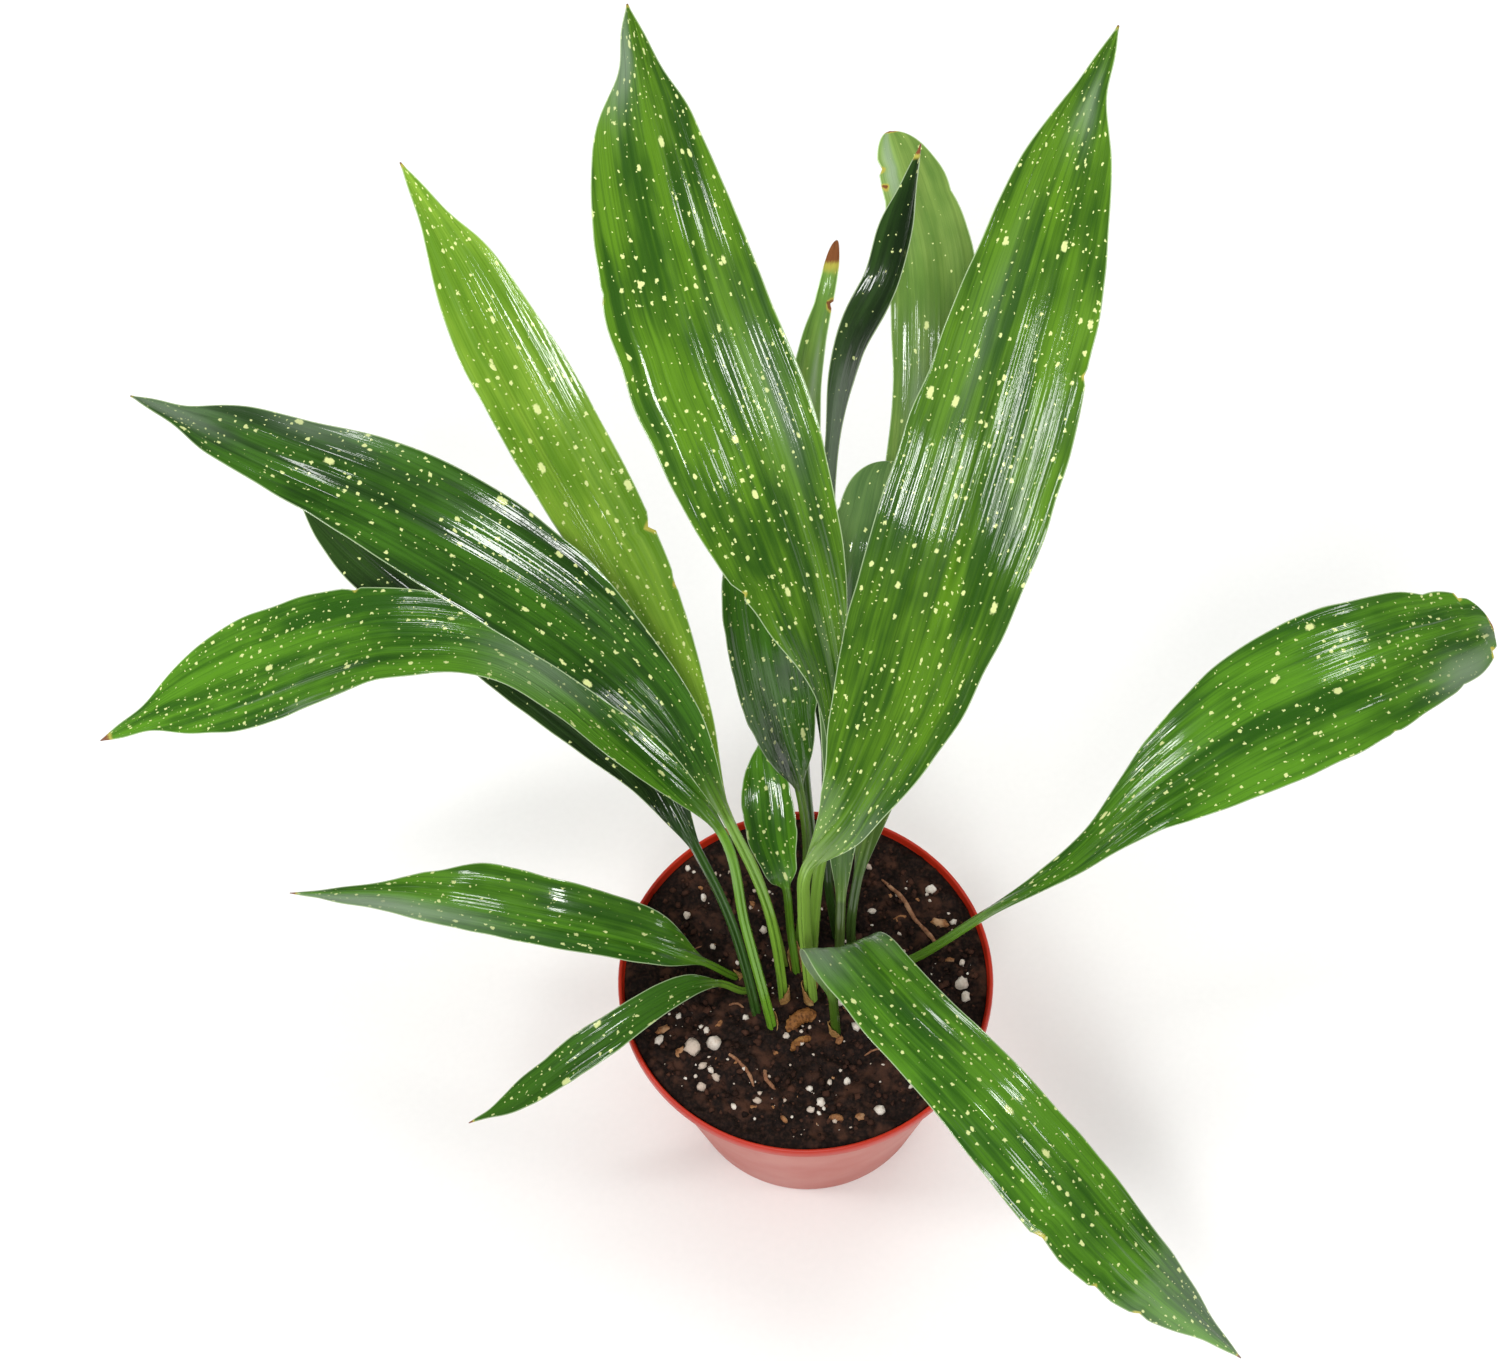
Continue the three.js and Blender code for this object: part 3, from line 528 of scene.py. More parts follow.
def soil_height(x, y, soil):
    """Height of the soil's broad lumps at x and y, in millimetres."""
    reach = np.hypot(x, y) / SOIL_REACH
    lumps = (np.sin(0.21 * x + 1.3) * np.cos(0.17 * y - 0.4)
             + 0.6 * np.sin(0.43 * x - 0.36 * y) + 0.4 * np.cos(0.55 * y + 0.3 * x + 1))
    return (soil.level + soil.relief * (0.6 * lumps - 1.2 * reach * reach)) / MM


# ---------------------------------------------------------------- materials

# Leaf finishes: light and deep stripes, underside, stalk, share of flecks kept
LEAF_KINDS = {
    "young": ("80a632", "5c861e", "8ea454", "7c9a3a", 0.72),
    "mid": ("588418", "2b520f", "6a864e", "74983a", 0.62),
    "bright": ("588f1c", "2c5a0f", "6e8654", "56801f", 0.66),
    "deep": ("3c6c16", "1e400c", "526a40", "648a2a", 0.6),
    "shaded": ("2b4818", "15290d", "3e5034", "2e4e1a", 0.22),
    "pale": ("7a9646", "587a32", "8a9c70", "547830", 0.16),
    "grey": ("5c7a42", "3e5e30", "7c9070", "6a8a3a", 0.25),
}
# Cream flecks in three sizes: cell in millimetres, its length over its width, a fleck's radius
# in cells, factor on the share of flecks that its finish keeps, and where the pattern starts
FLECKS = (
    (4.6, 1.15, 0.165, 0.85, 0.0),
    (2.9, 1.1, 0.13, 0.5, 31.0),
    (13.0, 1.6, 0.1, 0.7, 67.0),
)
# Relief in millimetres: ribs, two sizes of vein and the cuticle's grain; width, length, height
RELIEF = ((6.0, 150, 1.45), (1.9, 90, 0.34), (0.8, 60, 0.16), (0.45, 1.1, 0.018))
# Setting of a map range that is eased at both ends
SMOOTH = {"interpolation_type": "SMOOTHSTEP"}


def add_node(tree, kind, feeds=None, out=0, **settings):
    """Adds a node with its settings, fills or links its inputs, and gives one of its outputs."""
    made = tree.nodes.new("ShaderNode" + kind)
    for key, value in settings.items():
        setattr(made, key, value)
    for socket, value in (feeds or {}).items():
        if isinstance(value, bpy.types.NodeSocket):
            tree.links.new(value, made.inputs[socket])
        else:
            made.inputs[socket].default_value = value
    return made.outputs[out] if made.outputs else made


def new_material(name):
    """An empty node material, what adds a node to it, and its Principled shader."""
    material = bpy.data.materials.new(name)
    material.use_nodes = True
    material.node_tree.nodes.clear()
    node = partial(add_node, material.node_tree)
    surface = node("BsdfPrincipled")
    node("OutputMaterial", {"Surface": surface})
    return material, node, surface.node


def link_inputs(shader, links):
    """Links several inputs of a shader."""
    for socket, value in links.items():
        shader.id_data.links.new(value, shader.inputs[socket])


def dress(piece, material):
    """Gives a piece its material and body."""
    piece.data.materials.clear()
    piece.data.materials.append(material)
    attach(piece, BODY)


def noise(node, place, scale, detail, rough=0.5):
    """Noise over a place that is scaled along each axis."""
    scaled = node("Mapping", {"Vector": place, "Scale": scale}, vector_type="POINT")
    return node("TexNoise", {"Vector": scaled, "Scale": 1.0, "Detail": detail, "Roughness": rough})


def body_noise(node, size, detail, rough=0.5):
    """Noise fixed to its piece, with grains of a given size in millimetres."""
    return noise(node, node("TexCoord", out="Object"), (1 / MM / size,) * 3, detail, rough)


def leaf_material(kind, look):
    """Living cast iron leaf: a thick waxed cuticle over long parallel veins, so its light is
    a clear gloss broken into streaks, with lengthwise green stripes and cream flecks."""
    light, deep, under, stalk, share = LEAF_KINDS[kind]
    material, node, shader = new_material("waxed_leaf_" + kind)
    place = node("Attribute", out="Vector", attribute_name="blade_mm")
    edge = node("Attribute", out="Fac", attribute_name="blade_edge")
    grey_sheen_mask = node("Attribute", out="Fac", attribute_name="blade_bloom")
    (_, length, upper), (dry, tone, stalky) = (
        node("SeparateXYZ", {0: node("Attribute", out="Vector", attribute_name=name)}).node.outputs
        for name in ("blade_place", "blade_marks"))

    def grain(across, along, detail=3.0):
        """Noise with grains of a given width and length in millimetres."""
        return noise(node, place, (1 / across, 1 / along, 1), detail, 0.6)

    # Stripes 10 and 2.6 mm wide that run the length of the blade, and broad patches 60 mm long
    wide, narrow = (node("Math", {0: grain(across, along), 1: weight}, operation="MULTIPLY")
                    for across, along, weight in ((10, 260, 0.68), (2.6, 140, 0.32)))
    stripes = node("Math", {0: wide, 1: narrow}, operation="ADD")
    patches = node("Math", {0: grain(20, 62), 1: 0.5}, operation="SUBTRACT")
    patches = node("Math", {0: patches, 1: 0.75}, operation="MULTIPLY")
    stripes = node("Math", {0: stripes, 1: patches}, operation="ADD")
    # Veins 0.9 mm apart, darker in their troughs
    veins = node("MapRange", {0: grain(0.9, 90, 1.5), 1: 0.36, 2: 0.5, 3: 0.35, 4: 0.0}, **SMOOTH)

    # Each cell keeps its fleck by chance, more of them in clusters
    clusters = node("MapRange", {0: grain(22, 30, 1.0), 1: 0.35, 2: 0.65, 3: 0.55, 4: 1.35}, **SMOOTH)
    # Veins bound each fleck, so its outline is a rough rectangle drawn out along them
    ragged = node("TexNoise", {"Vector": place, "Scale": 0.9, "Detail": 1.0}, "Color")
    ragged = node("VectorMath", {0: ragged, 1: (0.5, 0.5, 0.5)}, operation="SUBTRACT")
    ragged = node("VectorMath", {0: ragged, 1: (1.3, 1.8, 0), 2: place}, operation="MULTIPLY_ADD")
    flecks = []
    for cell, stretch, radius, kept, start in FLECKS:
        cells = node("Mapping", {"Vector": ragged, "Location": (start, start, 0),
                                 "Scale": (1 / cell, 1 / (cell * stretch), 1)}, vector_type="POINT")
        spots = node("TexVoronoi", {"Vector": cells, "Scale": 1.0, "Randomness": 0.95, "Exponent": 3.0},
                     voronoi_dimensions="2D", distance="MINKOWSKI").node.outputs
        chance = node("SeparateColor", {0: spots["Color"]}).node.outputs
        size = node("Math", {0: chance[1], 1: 1.6}, operation="POWER")
        size = node("MapRange", {0: size, 3: radius * 0.35, 4: radius}, **SMOOTH)
        inside = node("Math", {0: spots["Distance"], 1: size}, operation="DIVIDE")
        inside = node("MapRange", {0: inside, 1: 0.7, 2: 1.2, 3: 1.0, 4: 0.0}, **SMOOTH)
        limit = node("Math", {0: clusters, 1: share * kept}, operation="MULTIPLY")
        kept_here = node("Math", {0: chance[0], 1: limit}, operation="LESS_THAN")
        flecks.append(node("Math", {0: inside, 1: kept_here}, operation="MULTIPLY"))
    flecks = reduce(lambda one, other: node("Math", {0: one, 1: other}, operation="MAXIMUM"), flecks)
    on_blade = node("MapRange", {0: length, 1: -0.02, 2: 0.05}, **SMOOTH)
    flecks = node("Math", {0: flecks, 1: on_blade}, operation="MULTIPLY")

    # Painted grey sheen: reflections of a dim grey room painted into the colour, partly the leaf's own
    # grey; the clear coat thins where it lies
    bloom = node("Math", {0: grain(7, 40), 1: grey_sheen_mask}, operation="ADD")
    bloom = node("MapRange", {0: bloom, 1: 0.45, 3: 0.2}, **SMOOTH)
    bloom = node("Math", {0: grey_sheen_mask, 1: bloom}, operation="MULTIPLY")
    margin = node("Math", {0: node("MapRange", {0: edge, 1: 0.55, 2: 0.15}, **SMOOTH),
                           1: node("MapRange", {0: length, 2: 0.06}, **SMOOTH)}, operation="MULTIPLY")
    # From the deep green outward: stripes, veins, flecks, the paler underside, painted grey
    # sheen that is partly the leaf's own grey, the yellow-green stalk and a thin pale margin
    colour = linear(deep)
    for cover, over in (
            (node("MapRange", {0: stripes, 1: 0.35, 2: 0.64}, **SMOOTH), linear(light)),
            (veins, linear(deep)),
            (node("Math", {0: flecks, 1: 0.95}, operation="MULTIPLY"), tuple(look.fleck_colour)),
            (node("MapRange", {0: upper, 1: 0.75, 2: 0.25, 4: 0.8}, **SMOOTH), linear(under)),
            (bloom, linear("8a9c84")),
            (stalky, linear(stalk)),
            (node("Math", {0: margin, 1: 0.75}, operation="MULTIPLY"), tuple(look.margin_colour))):
        colour = node("Mix", {0: cover, 6: colour, 7: over}, 2, data_type="RGBA")
    # Painted light and shade: each half, the base, the tip and the stalk made lighter or darker as light
    # falls on them, partly the leaf's own lighter or darker green
    tone = node("Math", {0: tone, 1: 1.0}, operation="ADD")
    colour = node("HueSaturation", {"Color": colour, "Value": tone})
    # Dead brown tissue with a yellow band where it meets the green
    decay = node("Math", {0: grain(3, 6), 1: 0.5}, operation="SUBTRACT")
    decay = node("Math", {0: decay, 1: 0.35}, operation="MULTIPLY")
    decay = node("Math", {0: dry, 1: decay}, operation="ADD")
    for low, high, over in ((0.12, 0.45, linear("b7b04a")), (0.5, 0.68, tuple(look.dry_colour))):
        cover = node("MapRange", {0: decay, 1: low, 2: high}, **SMOOTH)
        colour = node("Mix", {0: cover, 6: colour, 7: over}, 2, data_type="RGBA")

    # Roughness of the skin, with what the underside and dead tissue add to it
    gloss, below, dead = (
        node("MapRange", {0: value, 1: low, 2: high, 3: least, 4: most}, **SMOOTH)
        for value, low, high, least, most in ((grain(5, 30), 0.3, 0.7, 0.3, 0.42),
                                              (upper, 0.6, 0.3, 0.0, 0.16),
                                              (decay, 0.4, 0.6, 0.0, 0.3)))
    gloss = node("Math", {0: gloss, 1: node("Math", {0: below, 1: dead}, operation="ADD")},
                 operation="ADD")
    relief = (node("Math", {0: grain(across, along, 0.0), 1: high}, operation="MULTIPLY")
              for across, along, high in RELIEF)
    height = reduce(lambda one, other: node("Math", {0: one, 1: other}, operation="ADD"), relief)
    bump = node("Bump", {"Strength": 1.0, "Distance": MM, "Height": height})
    # The clear coat thins under the painted grey sheen
    link_inputs(shader, {
        "Base Color": colour, "Roughness": gloss, "Normal": bump, "Coat Normal": bump,
        "Coat Weight": node("Math", {0: 1.0, 1: bloom}, operation="SUBTRACT")})
    shader.inputs["IOR"].default_value = 1.47
    shader.inputs["Coat Roughness"].default_value = 0.075
    shader.inputs["Specular IOR Level"].default_value = 0.15
    return material


def pot_material(pot):
    """Polypropylene, injection moulded: a semi-gloss skin, saturated on the rim band and inside,
    with painted light washing the thin outer wall below the rim out to a pale pink."""
    material, node, shader = new_material("moulded_polypropylene")
    band, _, slope = wall_line(pot)
    x, y, z = node("SeparateXYZ", {0: node("TexCoord", out="Object")}).node.outputs
    flat = node("CombineXYZ", {0: x, 1: y})
    out = node("VectorMath", {0: flat}, "Value", operation="LENGTH")
    # The outer wall runs straight from the base to the rim band
    wall = node("Math", {0: z, 1: slope, 2: pot.base_radius}, operation="MULTIPLY_ADD")
    outside = node("Math", {0: out, 1: wall}, operation="SUBTRACT")
    # Painted light: the outside of the wall below the rim band takes the pale washed-out colour
    skin = node("MapRange", {0: outside, 1: -0.9 * MM, 2: -0.5 * MM})
    below = node("MapRange", {0: z, 1: band, 2: band - 2.5 * MM}, **SMOOTH)
    lit_outside = node("Math", {0: skin, 1: below}, operation="MULTIPLY")
    cloud = body_noise(node, 30, 3.0)
    depth, lit_body = (node("Mix", {0: cloud, 6: tuple(plain), 7: linear(other)}, 2, data_type="RGBA")
                    for plain, other in ((pot.rim_colour, "a9220d"), (pot.lit_body_colour, "b24d3c")))
    bump = node("Bump", {"Strength": 0.5, "Distance": 0.03 * MM, "Height": body_noise(node, 0.8, 2.0)})
    link_inputs(shader, {
        "Base Color": node("Mix", {0: lit_outside, 6: depth, 7: lit_body}, 2, data_type="RGBA"),
        "Roughness": node("MapRange", {0: cloud, 1: 0.3, 2: 0.7, 3: 0.34, 4: 0.46}),
        "Normal": bump})
    shader.inputs["IOR"].default_value = 1.49
    return material


def lump_material(name, colour, second, third, rough, size, attribute=None):
    """Earth, stone or dead wood: three shades broken up at a given grain in millimetres."""
    material, node, shader = new_material(name)
    fine, broad = body_noise(node, size, 6.0, 0.65), body_noise(node, size * 5, 3.0)
    for value, low, high, over in ((fine, 0.42, 0.66, second), (broad, 0.5, 0.72, third)):
        cover = node("MapRange", {0: value, 1: low, 2: high}, **SMOOTH)
        colour = node("Mix", {0: cover, 6: colour, 7: linear(over)}, 2, data_type="RGBA")
    if attribute:
        tint = node("Attribute", out="Fac", attribute_name=attribute)
        colour = node("Mix", {0: tint, 6: colour, 7: linear(third)}, 2, data_type="RGBA")
    bump = node("Bump", {"Strength": 1.0, "Distance": 0.25 * MM, "Height": fine})
    link_inputs(shader, {"Base Color": colour, "Normal": bump})
    shader.inputs["Roughness"].default_value = rough
    shader.inputs["Specular IOR Level"].default_value = 0.2
    return material


# ---------------------------------------------------------------- pot and soil

def build_pot(pot):
    """Raises the pot ring by ring, closes its floor, drills it and rounds its edges."""
    band, _, slope = wall_line(pot)

    def wall(z):
        return pot.base_radius + slope * z

    # Radius and height of each ring: up the outside, over the rim and down the inside
    profile = [
        (pot.base_radius - 1.5 * MM, 0), (pot.base_radius, 1.5 * MM),
        (wall(band - 1.5 * MM), band - 1.5 * MM), (pot.rim_radius - 0.5 * MM, band - 0.5 * MM),
        (pot.rim_radius, band + 0.5 * MM), (pot.rim_radius, pot.height - 1.2 * MM),
        (pot.rim_radius - 0.35 * MM, pot.height - 0.35 * MM), (pot.rim_radius - 0.8 * MM, pot.height),
        (pot.rim_radius - pot.wall + 0.1 * MM, pot.height - 0.1 * MM),
        (pot.rim_radius - pot.wall - 0.2 * MM, pot.height - 0.7 * MM),
        (pot.rim_radius - pot.wall - 0.4 * MM, band + 1.5 * MM),
        (wall(band) - pot.wall, band - 0.9 * MM),
        (wall(pot.floor + MM) - pot.wall, pot.floor + MM),
        (pot.base_radius - pot.wall - 0.4 * MM, pot.floor),
    ]
    piece = start(bpy.ops.mesh.primitive_circle_add, "pot_shell", vertices=120,
                  radius=profile[0][0], fill_type="NOTHING")
    bpy.ops.object.mode_set(mode="EDIT")
    bpy.ops.mesh.select_all(action="SELECT")
    extrude_rings(profile)
    # Closes the floor's inside, then its underside
    bpy.ops.mesh.edge_face_add()
    bpy.ops.mesh.select_all(action="DESELECT")
    bpy.ops.mesh.select_non_manifold()
    bpy.ops.mesh.edge_face_add()
    face_outward()

    drills = []
    for i in range(DRAINS):
        angle = 2 * math.pi * (i + 0.5) / DRAINS
        drills.append(start(
            bpy.ops.mesh.primitive_cylinder_add, "drain_drill", vertices=32, radius=pot.drain_radius,
            depth=8 * MM, location=(pot.drain_circle * math.cos(angle),
                                    pot.drain_circle * math.sin(angle), 1 * MM)))
    for drill in drills:
        drill.select_set(True)
    bpy.context.view_layer.objects.active = drills[0]
    bpy.ops.object.join()
    drills = bpy.context.object
    apply_modifier(piece, "BOOLEAN", operation="DIFFERENCE", object=drills, solver="EXACT")
    bpy.data.objects.remove(drills)
    apply_modifier(piece, "BEVEL", width=0.35 * MM, segments=2, limit_method="ANGLE",
                   angle_limit=math.radians(40))
    only(piece)
    bpy.ops.object.shade_smooth_by_angle(angle=math.radians(35))
    dress(piece, pot_material(pot))
    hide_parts("pot")


def build_soil(soil, pot):
    """Presses a fine grid into the pot, heaps crumbs on it and gives it depth."""
    rng = np.random.default_rng(11)
    band, top, slope = wall_line(pot)
    # Radii in millimetres, each a little inside the pot's wall
    edge = (pot.rim_radius - pot.wall) / MM - 1.0
    waist = (top - pot.wall) / MM - 0.7
    foot = (pot.base_radius + slope * (pot.floor + MM) - pot.wall - 0.6 * MM) / MM
    piece = start(bpy.ops.mesh.primitive_grid_add, "soil_bed", x_subdivisions=SOIL_STEPS,
                  y_subdivisions=SOIL_STEPS, size=2)
    flat = read_points(piece.data)
    a, b = flat[:, 0], flat[:, 1]
    # Square to disc: each square ring becomes a circle
    ring = np.maximum(np.abs(a), np.abs(b))
    wide = np.abs(a) >= np.abs(b)
    share = np.where(wide, b, a) / np.where(ring > 0, np.where(wide, a, b), 1)
    turn = np.where(wide, share * math.pi / 4, math.pi / 2 - share * math.pi / 4)
    turn = turn + np.where(np.where(wide, a, b) < 0, math.pi, 0)
    x, y = edge * ring * np.cos(turn), edge * ring * np.sin(turn)
    z = soil_height(x, y, soil)
    z += 0.5 * value_noise(x + 200, y + 200, 7, rng) + 0.25 * value_noise(x + 200, y + 200, 3, rng)
    heap = np.zeros_like(z)
    # Most heaps are small and one in five is larger; each is an oval dome turned at random
    for _ in range(HEAPS):
        r = rng.uniform(0.9, 3.4) if rng.random() < 0.8 else rng.uniform(3, 5)
        angle, out = rng.uniform(0, 2 * math.pi), edge * math.sqrt(rng.random())
        cx, cy = out * math.cos(angle), out * math.sin(angle)
        stretch, tilt = rng.uniform(0.6, 1), rng.uniform(0, math.pi)
        dx, dy = x - cx, y - cy
        near = np.abs(dx) + np.abs(dy) < 1.5 * r
        px = dx[near] * math.cos(tilt) + dy[near] * math.sin(tilt)
        py = (dy[near] * math.cos(tilt) - dx[near] * math.sin(tilt)) / stretch
        dome = np.sqrt(np.clip(1 - (px ** 2 + py ** 2) / r ** 2, 0, 1))
        heap[near] = np.maximum(heap[near], dome * rng.uniform(0.4, 0.9) * min(r, 2.2))
    z += (heap - 0.8) * soil.crumb_height / MM * 0.8
    z -= 0.8 * smoothstep(edge - 3, edge, np.hypot(x, y))
    z = np.maximum(z, band / MM + 1.5)
    write_points(piece.data, np.stack([x, y, z], -1) * MM)
    only(piece)
    bpy.ops.object.mode_set(mode="EDIT")
    bpy.ops.mesh.select_all(action="DESELECT")
    bpy.ops.mesh.select_non_manifold()
    low = pot.floor + 0.35 * MM
    # The first ring evens out the surface's lumps
    even = band + 1.1 * MM
    bpy.ops.mesh.extrude_region_move(TRANSFORM_OT_translate={"value": (0, 0, even - soil.level)})
    bpy.ops.transform.resize(value=(1, 1, 0), center_override=(0, 0, even))
    extrude_rings([(edge, even), (waist, band - 1.2 * MM), (foot, low + MM), (foot - 1, low)])
    bpy.ops.mesh.edge_face_add()
    face_outward()
    bpy.ops.object.shade_smooth()
    # Peat-based potting mix, damp and loosely filled: near black with a few rusty fibres
    earth = lump_material("damp_potting_mix", tuple(soil.colour), "2c1b14", "442a1e", 0.8, 1.5)
    dress(piece, earth)
    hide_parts("soil")


def scatter(name, spots, faces, seed, soil, squash, sink, jagged):
    """Copies one small lump to many spots, each with its own turn, size and dents."""
    rng = np.random.default_rng(seed)
    piece = start(bpy.ops.mesh.primitive_ico_sphere_add, name, subdivisions=faces, radius=0.5)
    lump = read_points(piece.data)
    sides = np.array([list(p.vertices) for p in piece.data.polygons])
    points, rows, tints = [], [], []
    for x, y, width in spots:
        turn = Euler(rng.uniform(0, 6.3, 3)).to_matrix()
        shape = lump @ np.array(turn).T
        shape *= 1 + rng.uniform(-jagged, jagged, (len(lump), 1)) * 2
        shape *= np.array(squash) * rng.uniform(0.8, 1.2, 3) * width
        spin = rng.uniform(0, 6.3)
        c, s = math.cos(spin), math.sin(spin)
        shape = shape @ np.array([[c, s, 0], [-s, c, 0], [0, 0, 1]])
        z = soil_height(np.array(x), np.array(y), soil) + width * (0.5 * squash[2] - sink)
        rows.append(sides + len(points) * len(lump))
        points.append((shape + (x, y, float(z))) * MM)
        tints.append(np.full(len(lump), rng.random()))
    mesh = bpy.data.meshes.new(name)
    mesh.from_pydata(np.vstack(points).tolist(), [], np.vstack(rows).tolist())
    old = piece.data
    piece.data = mesh
    bpy.data.meshes.remove(old)
    mesh.name = name
    keep_values(mesh, "lump_tint", np.concatenate(tints))
    only(piece)
    bpy.ops.object.shade_smooth()
    return piece


def feet():
    """Where each stalk enters the soil, in millimetres."""
    return np.array([leaf["foot"] for leaf in LEAVES])


def scatter_spots(count, low, high, seed, reach=69, clear=2.6):
    """Random spots on the soil, clear of the stalks: x, y and width."""
    rng = np.random.default_rng(seed)
    stalks, spots = feet(), []
    while len(spots) < count:
        angle, out = rng.uniform(0, 2 * math.pi), reach * math.sqrt(rng.random())
        x, y = out * math.cos(angle), out * math.sin(angle)
        width = low + (high - low) * rng.random() ** 2.5
        if np.hypot(*(stalks - (x, y)).T).min() > clear + width / 2:
            spots.append((x, y, width))
    return spots


def build_grit(soil):
    """Lays perlite, bark, crumbs and twigs on the soil."""
    # Perlite, popped volcanic glass: matt off-white with fine pits
    perlite = lump_material("expanded_perlite", tuple(soil.perlite_colour), "cdbfb2", "bba898",
                            0.9, 1.2, "lump_tint")
    # Pine bark, milled: tan broken faces with darker grain
    bark = lump_material("milled_pine_bark", tuple(soil.bark_colour), "6a432a", "b99472", 0.85, 1.2)
    # Peat crumbs: drier and browner than the mix below them
    peat = lump_material("crumbled_peat", tuple(soil.colour), "241611", "4a2e22", 0.85, 1.0, "lump_tint")
    # Name, material, spots, subdivisions, seed, squash, how far it sinks and how jagged it is
    for name, material, spots, faces, seed, squash, sink, jagged in (
            ("perlite_grains", perlite, PERLITE, 2, 21, (0.95, 0.8, 0.75), 0.12, 0.13),
            ("perlite_dust", perlite, scatter_spots(380, 0.5, 2.4, 22), 1, 23, (1, 0.85, 0.7),
             0.02, 0.17),
            ("bark_chips", bark, BARK + scatter_spots(40, 1.2, 3.6, 24), 2, 25, (1, 0.6, 0.45),
             0.12, 0.17),
            ("soil_crumbs", peat, scatter_spots(soil.crumbs, 0.9, 3.4, 26), 1, 27, (1, 0.9, 0.8),
             0.1, 0.2)):
        dress(scatter(name, spots, faces, seed, soil, squash, sink, jagged), material)
    # Dry root, peeled: light brown with long fibres
    root = lump_material("dry_root", tuple(soil.root_colour), "6e4630", "a98062", 0.7, 1.0)
    for number, (plan, radius) in enumerate(TWIGS):
        route = []
        for k, (x, y) in enumerate(plan):
            z = float(soil_height(np.array(x), np.array(y), soil)) + radius + 0.55
            route.append((x, y, z - (0.9 if k in (0, len(plan) - 1) else 0)))
        twig = tube("twig_" + str(number + 1), route, radius * MM, 12, 60, 0.22, 40 + number)
        dress(twig, root)


def build_rootstock():
    """Rolls each piece of rootstock with its rings, and wraps papery sheaths at the stalks."""
    # Rhizome bark, dry and ringed: warm brown
    bark = lump_material("ringed_rhizome", linear("8a5a2e"), "5d3a1e", "b08048", 0.65, 1.3)
    for number, (node, (route, radius)) in enumerate(ROOTSTOCK.items()):
        piece = tube(node + "_bark", route, radius * MM * 0.97, 28, 70, 0.16, 60 + number)
        dress(piece, bark)
        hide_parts(node)
    # Dead leaf sheath, papery: translucent straw brown with long veins
    paper = lump_material("papery_sheath", linear("a8804c"), "7c5a34", "c9ab74", 0.6, 0.9)
    rows = {leaf["name"]: leaf for leaf in LEAVES}
    for number, (name, height, wrap) in enumerate(SHEATHS):
        piece = sheath("sheath_" + str(number + 1), rows[name], height, wrap, 80 + number)
        dress(piece, paper)


def sheath(name, leaf, height, wrap, seed):
    """A thin scale wrapped round a stalk's foot, with a ragged pointed top."""
    rng = np.random.default_rng(seed)
    way = Route(leaf["route"])
    lowest = way.share(1) - 2.5 * MM / way.total
    piece = start(bpy.ops.mesh.primitive_grid_add, name, x_subdivisions=25, y_subdivisions=26, size=1)
    flat = read_points(piece.data)
    u, v = flat[:, 0] * 2, flat[:, 1] + 0.5
    facing = rng.uniform(0, 360)
    ragged = 1 - 0.45 * np.abs(u) ** 1.5 + 0.06 * value_noise(u * 9 + 40, v * 0, 1, rng)
    share = lowest + v * ragged * height * MM / way.total
    point, heading = way.at(share)
    east = np.cross(heading, (0, 1.0, 0))
    east /= np.linalg.norm(east, axis=-1, keepdims=True)
    north = np.cross(heading, east)
    turn = np.radians(facing + u * wrap / 2)[:, None]
    ply = 0.12 * value_noise(u * 7 + 50, v * 3 + 50, 1, rng)
    size = (leaf["stalk"] + 0.35 + 0.5 * v ** 2 + ply + 0.25 * (1 - v)) * MM
    write_points(piece.data, point + size[:, None] * (np.cos(turn) * east + np.sin(turn) * north))
    apply_modifier(piece, "SOLIDIFY", thickness=0.25 * MM, offset=0)
    close_up(piece, THIN_SEAM)
    return piece


# ---------------------------------------------------------------- leaves

# Stations on the last eighth of a round tip
TIP_STEPS = 30
# Place along the blade where the stalk has opened out, and where and how long the beak is
OPENED = 0.14
BEAK_PLACE = 0.925
BEAK_LENGTH = 0.05
# Share by which a half's width wavers, and place of the last column inside the margin
UNEVEN = 0.02
LAST_LANE = 0.985
# Roundness of the fold in millimetres, and rows of pleat heights along the blade
FOLD_SOFTNESS = 1.3
PLEAT_ROWS = 7
# Frills: length over two pi in millimetres, and shift of the right half
FRILLS = ((5.1, 2), (9.3, -3))
# How far a leaf stays inside the CAD box, in metres
BOX_GAP = 2e-5


def along(three, t):
    """Value at t of a quantity given at the collar, the middle and the tip."""
    first, middle, last = three
    t = np.clip(t, 0, 1)
    k = t * t * (3 - 2 * t)
    return ((1 - t) * (1 - k) * first + k * t * last + (1 - (1 - t) * (1 - k) - k * t) * middle)


def half_width(widths, blunt, t):
    """Width of one half of the blade at t, in millimetres."""
    knots = np.array([-widths[0], 0, *widths, 0, -widths[-1]], dtype=float)
    place = np.clip(t, 0, 0.99999) * (len(widths) + 1)
    i = np.floor(place).astype(int)
    u = place - i
    a, b, c, d = (knots[i + k] for k in range(4))
    curve = 2 * b + (c - a) * u + (2 * a - 5 * b + 4 * c - d) * u ** 2 + (3 * b - a - 3 * c + d) * u ** 3
    if blunt:
        curve = np.where(i == len(widths), 2 * widths[-1] * np.sqrt(np.clip(1 - u * u, 0, 1)), curve)
    return np.maximum(0, curve / 2)


